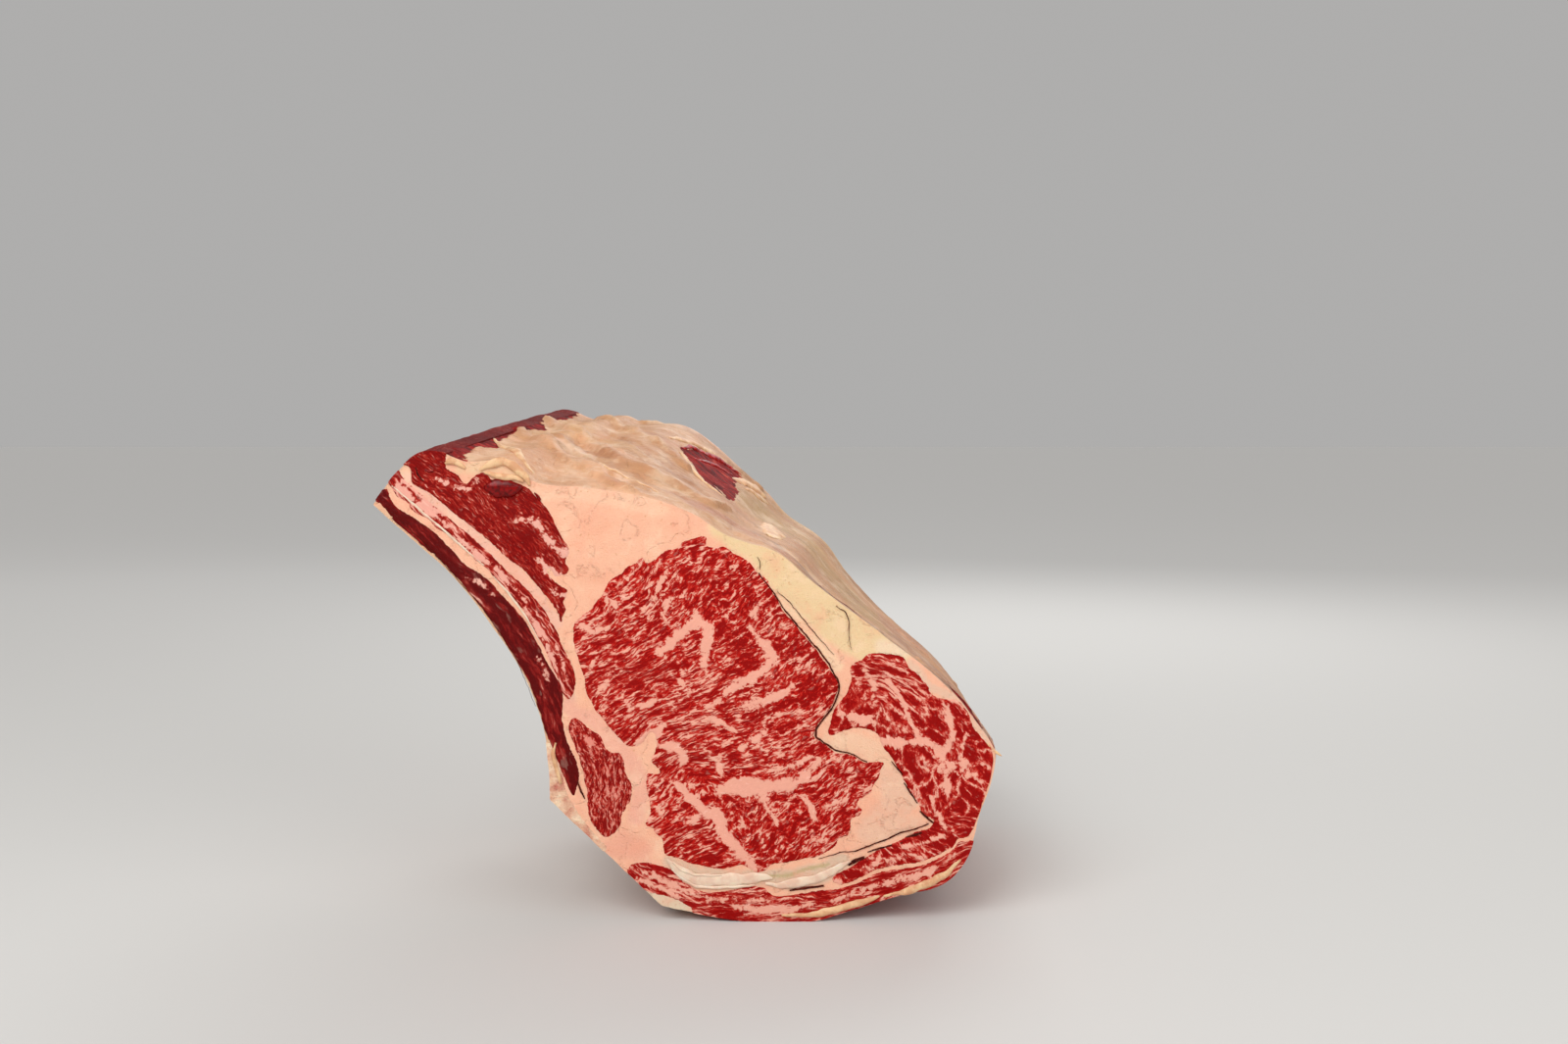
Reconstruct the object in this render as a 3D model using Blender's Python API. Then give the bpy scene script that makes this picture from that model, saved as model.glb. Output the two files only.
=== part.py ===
"""Raw bone-in beef rib roast, standing on its outer edge, with the cut face to the front.

Every sub-part starts as a flat outline in the XZ plane of the front cut, which is swept through
the roast along Y and then shaped by settle(), so that all of them turn and swell together.
The muscles and bones are let into one body of fat, which keeps a small gap to each of them.
"""

import math

import bmesh
import bpy

MM = 0.001

# Driving dimensions.
ROAST_DEPTH = 160 * MM
FIT_GAP = 0.3 * MM
CUTTER_OVERRUN = 3 * MM
RIB_COUNT = 3
RIB_PITCH = 48 * MM
RIB_FIRST_FROM_FRONT = 28 * MM
RIB_WIDTH = 26 * MM
RIB_SIDES = 10
RIB_THICKNESS = 8.4 * MM
RIB_BULGE = 4 * MM
MEMBRANE_OVER_RIB = 1.6 * MM
RIB_SIDE_END_X = -55 * MM
RIB_SIDE_TOP_Z = 184 * MM
RIB_SIDE_FROM_Z, RIB_SIDE_FULL_Z = 72 * MM, 94 * MM
RIB_SIDE_FACING_LOW = math.radians(10)
RIB_SIDE_FACING_HIGH = math.radians(47)
FACING_FROM_Z, FACING_TO_Z = 70 * MM, 180 * MM

# How the section changes from the front cut to the back cut.
SECTION_CENTRE_X = 3.95 * MM
BACK_TURN = math.radians(9)
TURN_PIVOT_X = 30 * MM
CROWN_RISE = 18 * MM
CROWN_CENTRE_X = -48 * MM
CROWN_HALF_WIDTH = 33 * MM
CROWN_FROM_Z, CROWN_FULL_Z = 110 * MM, 175 * MM
SHOULDER_DIP = 8 * MM
SHOULDER_CENTRE_X = 72 * MM
SHOULDER_HALF_WIDTH = 40 * MM
SHOULDER_FROM_Z, SHOULDER_FULL_Z = 60 * MM, 110 * MM
BASE_SLOPE_FRONT = 0.19
BASE_SLOPE_BACK = 0.37
BASE_PRESS_DEPTH = 26 * MM
BASE_PRESS_FROM_X, BASE_PRESS_FULL_X = -50 * MM, -12 * MM
BASE_DECAY_HEIGHT = 50 * MM

STEPS_BETWEEN_POINTS = 2
FLAT_WITHIN = math.radians(0.5)

# A third value marks a corner: the outline turns sharply there and runs straight to the next corner.
CORNER = True

# Outlines on the front cut, in millimetres as (x, z), clockwise from the tail end.
TAIL_END = [(-135, 182.5, CORNER), (-126, 195), (-115, 204.5), (-107, 205)]
OUTER_SIDE = [
    (-95, 201), (-79, 200.5), (-66, 192), (-44.5, 189.5), (-18.5, 185.5), (1, 179), (16, 169.5),
    (39, 161), (52, 150), (84, 126), (113, 102), (125, 87.5), (132.5, 75), (131, 62), (126, 47),
    (121.5, 30), (112, 18),
]
BASE_SIDE = [(90, 11.5), (71.5, 5.5), (53, 0.3), (28, 0), (-3.5, 5)]
CHINE_CUT = [(-12.5, 7, CORNER), (-60.5, 54, CORNER)]
RIB_SIDE = [
    (-61, 68.5), (-64, 89), (-71, 107.5), (-84, 129), (-103.5, 153.5), (-120.5, 169),
]

# Where each rib's centreline starts by the chine, and ends past the tail end.
RIB_HEAD = (-62.5, 82)
RIB_LINE_END = (-138, 185)

ROAST = TAIL_END + OUTER_SIDE + BASE_SIDE + CHINE_CUT + RIB_SIDE

EYE_MUSCLE = [
    (-50, 127), (-37, 144), (-32.5, 151), (-20, 158.5), (-5.5, 163.5), (1.5, 168), (10, 167),
    (23, 160), (29.5, 153.5), (44.5, 132.5), (56, 118.5), (64.3, 104.5), (62, 96.5), (56, 87),
    (54.2, 82.5), (59, 78.5), (70, 74), (84, 69.5), (82, 62.5), (75, 54.5), (74.5, 48.5),
    (65, 36.5), (56, 29), (41, 26), (29.5, 21.5), (22, 25), (11, 23.5), (-5, 28), (-11.5, 31),
    (-18, 44), (-18.5, 58), (-14.5, 67), (-15, 79), (-21.5, 78), (-29.5, 80), (-38, 90),
    (-44.5, 100.5), (-46.5, 110.5),
]
CAP_MUSCLE = [
    (75, 116), (86, 117.3), (92, 114.3), (98, 108), (105, 100.5), (114, 97), (120.5, 89.5),
    (128.8, 77), (130.8, 70), (128, 57), (122.6, 42), (119, 36.5), (109, 31),
    (92, 26), (77, 22.3), (64, 18, CORNER), (77, 27), (92, 35.5), (105, 42), (104, 46), (96.5, 55.5),
    (91.5, 65), (83, 78.5), (73, 85), (64.5, 86.5), (64.5, 92), (69, 100), (71, 110),
]
CHINE_MUSCLE = [
    (-50.5, 89.5), (-42.5, 84.5), (-37.5, 80), (-34.5, 75.5), (-28.5, 71), (-25.5, 61), (-27, 51.5),
    (-30, 43.5), (-35.5, 37.8), (-42.5, 43.5), (-45, 54), (-46.5, 66.5), (-50.5, 79),
]
TAIL_MUSCLE = [
    (-117, 190.8, CORNER), (-128, 199, CORNER), (-128, 212, CORNER), (-104, 212, CORNER),
    (-103.5, 198, CORNER), (-95, 191.5), (-88, 196), (-80, 192), (-69, 189.5), (-61, 181),
    (-54.5, 169), (-51, 161), (-53.5, 153), (-55, 147), (-52.5, 142), (-55, 131.5, CORNER),
    (-61.5, 143), (-75.5, 157.5), (-90, 170.5), (-107.5, 184.5),
]
TAIL_STRIP = [
    (-130, 201, CORNER), (-122, 194, CORNER), (-109.5, 182.5), (-93.5, 169), (-81, 157),
    (-68.5, 145), (-60.5, 134.5), (-54.5, 121), (-50, 110), (-49.7, 103.5), (-52, 98.5, CORNER),
    (-59, 112), (-68, 130), (-83, 150), (-98.5, 165), (-111.5, 176), (-128, 191, CORNER),
    (-135, 198, CORNER),
]
RIB_MEAT = [
    (-139, 196, CORNER), (-128.5, 187, CORNER), (-118.5, 177.8), (-105, 166.5), (-95, 156),
    (-81, 144), (-69, 130), (-60.5, 112.5), (-55.5, 100), (-54.8, 88), (-50.5, 74.5), (-48.3, 65),
    (-50.5, 55.5, CORNER), (-54, 65), (-58.4, 76), (-62.1, 89.5), (-69.2, 108.3), (-82.3, 130.2),
    (-102, 154.9), (-119.2, 170.4), (-133.5, 184, CORNER), (-141, 191, CORNER),
]
CHINE_BONE = [
    (-67, 80, CORNER), (-61, 79.5, CORNER), (-59, 73), (-56, 65), (-53.5, 54.5), (-44, 41),
    (-36, 33, CORNER), (-42, 26, CORNER), (-68, 50, CORNER),
]
BOTTOM_MUSCLE = [
    (132, 33, CORNER), (117, 33.8, CORNER), (107, 27), (92, 23), (77, 18.7), (62, 14), (44, 12),
    (28, 14), (10, 12.6), (0, 15.5), (-8, 22), (-19, 24), (-20, 19), (-10, 16), (0, 13, CORNER),
    (3, -12, CORNER), (132, -12, CORNER),
]

FAT_COLOUR = (0.86, 0.62, 0.46)
EYE_COLOUR = (0.52, 0.07, 0.055)
CAP_COLOUR = (0.50, 0.08, 0.06)
TAIL_COLOUR = (0.36, 0.045, 0.03)
RIB_MEAT_COLOUR = (0.17, 0.02, 0.018)
BONE_COLOUR = (0.72, 0.50, 0.38)


def rise(value, low, high):
    """Nought below low, one above high, and a smooth step between."""
    share = min(max((value - low) / (high - low), 0), 1)
    return share * share * (3 - 2 * share)


def bump(value, centre, half_width):
    return math.exp(-(((value - centre) / half_width) ** 2))


def rib_centres():
    first = -ROAST_DEPTH / 2 + RIB_FIRST_FROM_FRONT
    return [first + index * RIB_PITCH for index in range(RIB_COUNT)]


def settle(co):
    """Moves a point of the straight sweep to its place in the roast, which leans, crowns and sits flat."""
    share = co.y / ROAST_DEPTH + 0.5
    x, z = co.x, co.z
    swell = 1 - (1 - share) ** 2
    crown = bump(x, CROWN_CENTRE_X, CROWN_HALF_WIDTH) * rise(z, CROWN_FROM_Z, CROWN_FULL_Z)
    z += CROWN_RISE * swell * crown
    shoulder = bump(x, SHOULDER_CENTRE_X, SHOULDER_HALF_WIDTH)
    z -= SHOULDER_DIP * share * shoulder * rise(z, SHOULDER_FROM_Z, SHOULDER_FULL_Z)

    turn = BACK_TURN * share
    from_pivot = x - TURN_PIVOT_X
    x = TURN_PIVOT_X + from_pivot * math.cos(turn) + z * math.sin(turn)
    z = z * math.cos(turn) - from_pivot * math.sin(turn)

    slope = BASE_SLOPE_FRONT + (BASE_SLOPE_BACK - BASE_SLOPE_FRONT) * share
    pressed = rise(share * ROAST_DEPTH, 0, BASE_PRESS_DEPTH)
    pressed *= rise(x, BASE_PRESS_FROM_X, BASE_PRESS_FULL_X)
    reach = max(TURN_PIVOT_X - x, 0)
    z -= slope * reach * pressed * math.exp(-max(z, 0) / BASE_DECAY_HEIGHT)
    co.x, co.z = x - SECTION_CENTRE_X, z


def rib_bulge(y):
    """How far the inner side stands out over the nearest rib."""
    nearest = min(abs(y - centre) for centre in rib_centres())
    return RIB_BULGE * bump(nearest, 0, RIB_WIDTH / 2)


def rib_side_share(x, z):
    """One on the inner, ribbed side of the section, and nought round the rest of its edge."""
    if x > RIB_SIDE_END_X or z > RIB_SIDE_TOP_Z:
        return 0
    return rise(z, RIB_SIDE_FROM_Z, RIB_SIDE_FULL_Z)


def collection(name, hidden=False):
    made = bpy.data.collections.new(name)
    bpy.context.scene.collection.children.link(made)
    made.hide_render = hidden
    return made


def material(name, colour, roughness):
    made = bpy.data.materials.new(name)
    made.use_nodes = True
    made.diffuse_color = (*colour, 1)
    shader = made.node_tree.nodes["Principled BSDF"]
    shader.inputs["Base Color"].default_value = (*colour, 1)
    shader.inputs["Roughness"].default_value = roughness
    shader.inputs["Metallic"].default_value = 0
    return made


def outline_curve(name, points, closed):
    """A smooth 2D curve through the points, standing in the XZ plane."""
    curve = bpy.data.curves.new(name, "CURVE")
    curve.dimensions = "2D"
    curve.resolution_u = STEPS_BETWEEN_POINTS
    spline = curve.splines.new("BEZIER")
    spline.bezier_points.add(len(points) - 1)
    spline.use_cyclic_u = closed
    for knot, (x, z, *corner) in zip(spline.bezier_points, points):
        knot.co = (x * MM, z * MM, 0)
        knot.handle_left_type = knot.handle_right_type = "VECTOR" if corner else "AUTO"
    made = bpy.data.objects.new(name, curve)
    made.rotation_euler.x = math.radians(90)
    return made


def as_mesh(curve_object, name):
    """The curve's surface as a mesh object in world space, with its caps welded to its sides."""
    bpy.context.scene.collection.objects.link(curve_object)
    bpy.context.view_layer.update()
    graph = bpy.context.evaluated_depsgraph_get()
    mesh = bpy.data.meshes.new_from_object(curve_object.evaluated_get(graph))
    mesh.transform(curve_object.matrix_world)
    curve = curve_object.data
    bpy.data.objects.remove(curve_object)
    bpy.data.curves.remove(curve)
    mesh.name = name
    return bpy.data.objects.new(name, mesh)


def reshape(target, stations, *moves):
    """Cuts the mesh across at each station along Y, then passes every point through the moves.

    Each flat end is one face meanwhile, and is divided into triangles in its final shape.
    """
    shape = bmesh.new()
    shape.from_mesh(target.data)
    bmesh.ops.remove_doubles(shape, verts=shape.verts, dist=0.00001)
    for end in (min(vert.co.y for vert in shape.verts), max(vert.co.y for vert in shape.verts)):
        cap = [face for face in shape.faces if all(abs(vert.co.y - end) < 1e-6 for vert in face.verts)]
        bmesh.ops.dissolve_faces(shape, faces=cap)
    for station in stations:
        bmesh.ops.bisect_plane(
            shape,
            geom=shape.verts[:] + shape.edges[:] + shape.faces[:],
            plane_co=(0, station, 0),
            plane_no=(0, 1, 0),
        )
    for move in moves:
        for vert in shape.verts:
            move(vert.co)
    bmesh.ops.triangulate(shape, faces=shape.faces)
    bmesh.ops.recalc_face_normals(shape, faces=shape.faces)
    shape.to_mesh(target.data)
    shape.free()


def swept(name, points, depth, inset=0.0):
    """The outline filled and swept to the depth, centred on Y, smaller all round by the inset."""
    curve = outline_curve(name, points, closed=True)
    curve.data.fill_mode = "BOTH"
    curve.data.extrude = depth / 2
    curve.data.offset = -inset
    return as_mesh(curve, name)


def stations_for_ribs():
    """Cuts at the crest, flanks and feet of each rib's bulge, and halfway between the ribs."""
    flanks = (-0.5, 0, 0.5)
    return [centre + share * RIB_WIDTH for centre in rib_centres() for share in flanks]


def bulge_over_ribs(co):
    """Pushes the inner side out over each rib, in the direction that the side faces at that height."""
    outward = rib_side_share(co.x, co.z) * rib_bulge(co.y)
    turned = rise(co.z, FACING_FROM_Z, FACING_TO_Z)
    facing = RIB_SIDE_FACING_LOW + (RIB_SIDE_FACING_HIGH - RIB_SIDE_FACING_LOW) * turned
    co.x -= outward * math.cos(facing)
    co.z -= outward * math.sin(facing)


def roast_blank(helpers):
    """The whole roast as one solid, cut flat where it rests."""
    blank = swept("roast_blank", ROAST, ROAST_DEPTH)
    press_end = -ROAST_DEPTH / 2 + BASE_PRESS_DEPTH
    reshape(blank, [*stations_for_ribs(), press_end], bulge_over_ribs, settle)
    shape = bmesh.new()
    shape.from_mesh(blank.data)
    cut = bmesh.ops.bisect_plane(
        shape,
        geom=shape.verts[:] + shape.edges[:] + shape.faces[:],
        plane_co=(0, 0, 0),
        plane_no=(0, 0, -1),
        clear_outer=True,
    )
    rim = [item for item in cut["geom_cut"] if isinstance(item, bmesh.types.BMEdge)]
    bmesh.ops.edgenet_fill(shape, edges=rim)
    bmesh.ops.triangulate(shape, faces=shape.faces)
    bmesh.ops.recalc_face_normals(shape, faces=shape.faces)
    shape.to_mesh(blank.data)
    shape.free()
    return as_helper(blank, helpers)


def as_helper(target, helpers):
    helpers.objects.link(target)
    target.hide_render = True
    target.display_type = "WIRE"
    return target


def boolean(target, operation, other, solver="EXACT"):
    step = target.modifiers.new(operation.lower() + "_" + other.name, "BOOLEAN")
    step.operation = operation
    step.solver = solver
    if isinstance(other, bpy.types.Collection):
        step.operand_type = "COLLECTION"
        step.collection = other
    else:
        step.object = other


def merge_flat_faces(target):
    """Joins the many small faces that the cuts leave on flat ground."""
    step = target.modifiers.new("merge_flat_faces", "DECIMATE")
    step.decimate_type = "DISSOLVE"
    step.angle_limit = FLAT_WITHIN
    target.modifiers.new("triangles", "TRIANGULATE")


def let_in(name, points, blank, parts, cutters, finish):
    """A sub-part that runs right through the roast, and the larger cutter that makes room for it."""
    through = ROAST_DEPTH + 2 * CUTTER_OVERRUN
    part = swept(name, points, through, inset=FIT_GAP)
    reshape(part, [0], settle)
    parts.objects.link(part)
    part.data.materials.append(finish)
    boolean(part, "INTERSECT", blank)
    cutter = swept(name + "_cutter", points, through)
    reshape(cutter, [0], settle)
    as_helper(cutter, cutters)
    return part


def rib_line(longer):
    """The rib's centreline in the front cut: the inner side, moved in by half a rib and its cover.

    It starts longer by that much at the chine, and runs out past the tail end.
    """
    inward = RIB_THICKNESS / 2 + MEMBRANE_OVER_RIB - RIB_BULGE
    head = (RIB_HEAD[0], RIB_HEAD[1] - longer / MM)
    line = [head, *RIB_SIDE[1:], RIB_LINE_END]
    moved = []
    for index, (x, z) in enumerate(line):
        before = line[max(index - 1, 0)]
        after = line[min(index + 1, len(line) - 1)]
        run = math.hypot(after[0] - before[0], after[1] - before[1])
        x += (after[1] - before[1]) / run * inward / MM
        z -= (after[0] - before[0]) / run * inward / MM
        moved.append((x, z))
    return moved


def rib_bar(name, centre, grow):
    """One rib as a flat oval bar along the rib line, larger all round by grow."""
    profile_data = bpy.data.curves.new("rib_profile", "CURVE")
    profile_data.dimensions = "2D"
    spline = profile_data.splines.new("POLY")
    spline.points.add(RIB_SIDES - 1)
    spline.use_cyclic_u = True
    for index, point in enumerate(spline.points):
        angle = 2 * math.pi * index / RIB_SIDES
        across = (RIB_THICKNESS / 2 + grow) * math.cos(angle)
        along = (RIB_WIDTH / 2 + grow) * math.sin(angle)
        point.co = (across, along, 0, 1)
    profile = bpy.data.objects.new("rib_profile", profile_data)
    bar = outline_curve(name, rib_line(grow), closed=False)
    bar.data.bevel_mode = "OBJECT"
    bar.data.bevel_object = profile
    bar.data.use_fill_caps = True
    bar.location.y = centre
    made = as_mesh(bar, name)
    bpy.data.objects.remove(profile)
    bpy.data.curves.remove(profile_data)
    reshape(made, [], settle)
    return made


def main():
    for leftover in list(bpy.data.objects):
        bpy.data.objects.remove(leftover)
    parts = collection("beef_rib_roast")
    helpers = collection("helpers", hidden=True)
    cutters = collection("cutters", hidden=True)
    rib_cutters = collection("rib_cutters", hidden=True)

    fat_finish = material("fat", FAT_COLOUR, 0.45)
    eye_finish = material("eye_lean", EYE_COLOUR, 0.40)
    cap_finish = material("cap_lean", CAP_COLOUR, 0.40)
    tail_finish = material("tail_lean", TAIL_COLOUR, 0.35)
    rib_meat_finish = material("rib_lean", RIB_MEAT_COLOUR, 0.25)
    bone_finish = material("bone", BONE_COLOUR, 0.55)

    blank = roast_blank(helpers)
    for index, centre in enumerate(rib_centres(), start=1):
        rib = rib_bar(f"rib_{index}", centre, 0)
        rib.data.materials.append(bone_finish)
        parts.objects.link(rib)
        boolean(rib, "INTERSECT", blank)
        merge_flat_faces(rib)
        as_helper(rib_bar(f"rib_{index}_cutter", centre, FIT_GAP), rib_cutters)

    inlays = [
        ("eye_muscle", EYE_MUSCLE, eye_finish),
        ("cap_muscle", CAP_MUSCLE, cap_finish),
        ("chine_muscle", CHINE_MUSCLE, cap_finish),
        ("tail_muscle", TAIL_MUSCLE, tail_finish),
        ("tail_strip", TAIL_STRIP, tail_finish),
        ("bottom_muscle", BOTTOM_MUSCLE, cap_finish),
        ("rib_meat", RIB_MEAT, rib_meat_finish),
        ("chine_bone", CHINE_BONE, bone_finish),
    ]
    for name, points, finish in inlays:
        part = let_in(name, points, blank, parts, cutters, finish)
        if name == "rib_meat":
            boolean(part, "DIFFERENCE", rib_cutters)
        merge_flat_faces(part)

    fat = bpy.data.objects.new("fat_body", blank.data.copy())
    fat.data.materials.append(fat_finish)
    parts.objects.link(fat)
    # EXACT leaves open edges where this many cutters pass close to each other.
    boolean(fat, "DIFFERENCE", cutters, solver="MANIFOLD")
    boolean(fat, "DIFFERENCE", rib_cutters, solver="MANIFOLD")
    merge_flat_faces(fat)


main()
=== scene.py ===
"""Raw bone-in beef rib roast, standing on its outer edge with the marbled cut to the front.

Every piece is an outline on the front cut, filled with small triangles and swept through the roast.
The muscles and bones stand a fraction of a millimetre proud of one body of fat that runs round them.
"""

import math

import bpy
import numpy as np
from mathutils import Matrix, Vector
from mathutils.bvhtree import BVHTree
from mathutils.geometry import delaunay_2d_cdt
from mathutils.kdtree import KDTree


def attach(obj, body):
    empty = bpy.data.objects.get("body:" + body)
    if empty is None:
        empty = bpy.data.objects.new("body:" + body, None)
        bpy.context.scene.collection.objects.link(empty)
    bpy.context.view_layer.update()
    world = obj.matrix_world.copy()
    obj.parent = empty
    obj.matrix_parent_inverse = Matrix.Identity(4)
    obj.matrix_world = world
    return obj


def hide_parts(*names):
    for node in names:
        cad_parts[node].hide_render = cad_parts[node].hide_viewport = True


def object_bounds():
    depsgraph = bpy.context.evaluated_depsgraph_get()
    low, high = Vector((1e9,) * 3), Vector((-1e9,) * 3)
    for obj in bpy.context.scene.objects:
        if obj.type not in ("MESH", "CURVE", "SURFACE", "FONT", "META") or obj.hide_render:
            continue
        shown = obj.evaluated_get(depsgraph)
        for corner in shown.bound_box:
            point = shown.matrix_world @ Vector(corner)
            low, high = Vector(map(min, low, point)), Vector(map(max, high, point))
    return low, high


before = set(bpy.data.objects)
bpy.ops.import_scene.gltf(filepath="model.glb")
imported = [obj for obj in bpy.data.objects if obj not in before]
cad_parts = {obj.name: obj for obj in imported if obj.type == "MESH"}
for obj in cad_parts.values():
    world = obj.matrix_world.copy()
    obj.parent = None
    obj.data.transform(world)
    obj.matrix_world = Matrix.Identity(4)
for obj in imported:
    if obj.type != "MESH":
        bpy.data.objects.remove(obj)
CAD_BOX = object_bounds()

bl_info = {
    "name": "Beef rib roast",
    "version": (1, 0, 0),
    "blender": (4, 5, 0),
    "location": "View3D > Sidebar > Rib roast",
    "description": "Builds a raw bone-in beef rib roast with marbled muscles, fat, ribs and trimmings",
    "category": "Object",
}

MM = 0.001
BODY = "root"
CORNER = True

# How the section changes from the front cut to the back cut, as in the solid model.
DEPTH = CAD_BOX[1].y - CAD_BOX[0].y
SECTION_CENTRE_X = 3.95 * MM
BACK_TURN = math.radians(9)
TURN_PIVOT_X = 30 * MM
CROWN_RISE, CROWN_CENTRE_X, CROWN_HALF_WIDTH = 18 * MM, -48 * MM, 33 * MM
CROWN_FROM_Z, CROWN_FULL_Z = 110 * MM, 175 * MM
SHOULDER_DIP, SHOULDER_CENTRE_X, SHOULDER_HALF_WIDTH = 8 * MM, 72 * MM, 40 * MM
SHOULDER_FROM_Z, SHOULDER_FULL_Z = 60 * MM, 110 * MM
BASE_SLOPE_FRONT, BASE_SLOPE_BACK = 0.19, 0.37
BASE_PRESS_DEPTH, BASE_DECAY_HEIGHT = 26 * MM, 50 * MM
BASE_PRESS_FROM_X, BASE_PRESS_FULL_X = -50 * MM, -12 * MM
RIB_CENTRES = [-52 * MM, -4 * MM, 44 * MM]
RIB_BULGE, RIB_HALF_WIDTH = 4 * MM, 13 * MM
RIB_FACING_LOW, RIB_FACING_HIGH = math.radians(10), math.radians(47)

# Outlines on the front cut in millimetres as (x, z). A third value marks a corner.
TAIL_END = [(-135, 182.5, CORNER), (-126, 195), (-115, 204.5), (-107, 205)]
OUTER_SIDE = [
    (-95, 201), (-79, 200.5), (-66, 192), (-44.5, 189.5), (-18.5, 185.5), (1, 179), (16, 169.5),
    (39, 161), (52, 150), (84, 126), (113, 102), (125, 87.5), (132.5, 75), (131, 62), (126, 47),
    (121.5, 30), (112, 18),
]
BASE_SIDE = [(90, 11.5), (71.5, 5.5), (53, 0.3), (28, 0), (-3.5, 5)]
CHINE_CUT = [(-12.5, 7, CORNER), (-60.5, 54, CORNER)]
RIB_SIDE = [(-61, 68.5), (-64, 89), (-71, 107.5), (-84, 129), (-103.5, 153.5), (-120.5, 169)]
ROAST = TAIL_END + OUTER_SIDE + BASE_SIDE + CHINE_CUT + RIB_SIDE
OUTER_FROM = len(TAIL_END) - 1
BASE_FROM = OUTER_FROM + len(OUTER_SIDE)
CHINE_FROM = BASE_FROM + len(BASE_SIDE) + 1
RIB_FROM = CHINE_FROM + 1

EYE = [
    (-50, 123.5), (-50, 128), (-49.5, 131.5), (-47.5, 133.5), (-44, 136), (-41.5, 138.5), (-39.5, 141),
    (-37, 144), (-35, 148.5), (-32.5, 151), (-29, 153), (-26.5, 155.5), (-22.5, 157.5), (-19, 160),
    (-18.6, 157.8), (-16, 158), (-13.5, 160), (-9.5, 163), (-5.5, 163.5), (-2.5, 166.5), (1.5, 168),
    (5.5, 169), (8, 168), (7.5, 166), (9, 164.5), (16, 164.5), (19, 162), (23, 160), (26.5, 157.5),
    (29.5, 153.5), (33.5, 150.5), (36.5, 144.5), (38.5, 141.5), (41, 136.5), (44.5, 132.5), (48, 128),
    (52, 123.5), (56, 118.5), (60, 113), (62.5, 109), (64.5, 105), (64.5, 102), (63, 98), (61.5, 94.5),
    (59, 91.5), (56, 87), (54.5, 84.5), (54, 82), (56, 80.5), (59, 78.5), (62, 76), (66, 74.5),
    (70, 74), (73, 72.5), (76, 70.5), (82, 71), (84.5, 70), (83, 67), (82.5, 64), (80.5, 61),
    (78.5, 57), (75, 54.5), (73, 52), (75, 50), (74.5, 47.5), (70, 45), (70, 42.5), (69, 38.5),
    (65, 36.5), (63.5, 33.5), (60, 31), (56, 29), (51, 28), (46.5, 27), (41, 26), (35.5, 25),
    (32.5, 22.5), (29.5, 21.5), (25, 24), (22.5, 25), (17, 23.5), (11, 23.5), (5.5, 24.5), (0, 26),
    (-5.5, 28), (-11, 30), (-12, 36.5), (-15.5, 39.5), (-16, 41.5), (-19, 42), (-19, 44.5),
    (-17.5, 47.5), (-17.5, 51.5), (-18.5, 57.5), (-19, 62.5), (-18.5, 65.5), (-13, 66), (-16.5, 71),
    (-15, 75.5), (-14.5, 80.5), (-16, 83.5), (-21.5, 78), (-26.5, 77.5), (-29.5, 80), (-32.5, 83),
    (-35, 86), (-38, 90), (-41, 93.5), (-42.5, 97), (-44.5, 100.5), (-45.5, 107.5), (-46.5, 110.5),
    (-48.5, 117),
]
CAP = [
    (75, 116), (77.5, 118), (86.5, 118), (90.5, 117.5), (93, 116), (94.5, 112.5), (99.5, 108.5),
    (102.5, 105), (105, 100.5), (110, 98.5), (115, 98), (119, 94.5), (121.5, 90), (123.5, 85.5),
    (127, 81.5), (130.3, 77.5), (131.5, 73), (131, 66), (129.5, 60), (127, 52), (124.5, 44.5),
    (121, 37.5), (117, 36.5), (115.5, 34), (109, 30), (101, 26.5), (91.5, 25), (81.5, 23), (73, 18.8),
    (65, 16.3), (62, 18.5), (69.5, 24), (76.5, 28.5), (84, 33), (89, 35), (97.5, 39.5), (104.5, 42),
    (106, 44.5), (101.5, 47.5), (99, 52.5), (96.5, 55.5), (94, 60.5), (91.5, 65), (89, 70),
    (86.5, 74), (83, 78.5), (81, 83), (72, 85.5), (66, 84), (60.5, 82.5), (61, 87.5), (63, 94.5),
    (66.5, 98.5), (68.5, 102), (70, 107.5), (69.5, 112),
]
CHINE = [
    (-50.5, 90), (-47, 88.5), (-42.5, 84.5), (-38.5, 82), (-37, 78), (-34.5, 75.5), (-30, 74.5),
    (-28.5, 70.5), (-27.5, 65.5), (-25.5, 61), (-25, 56), (-27, 51.5), (-29.5, 47.5), (-30, 43.5),
    (-32.5, 39.5), (-36.5, 37.5), (-39.5, 39.5), (-42.5, 43.5), (-44.5, 49.5), (-44.5, 55.5),
    (-45.5, 61), (-46.5, 66.5), (-48, 72.5), (-50.5, 79), (-52.5, 86),
]
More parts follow.
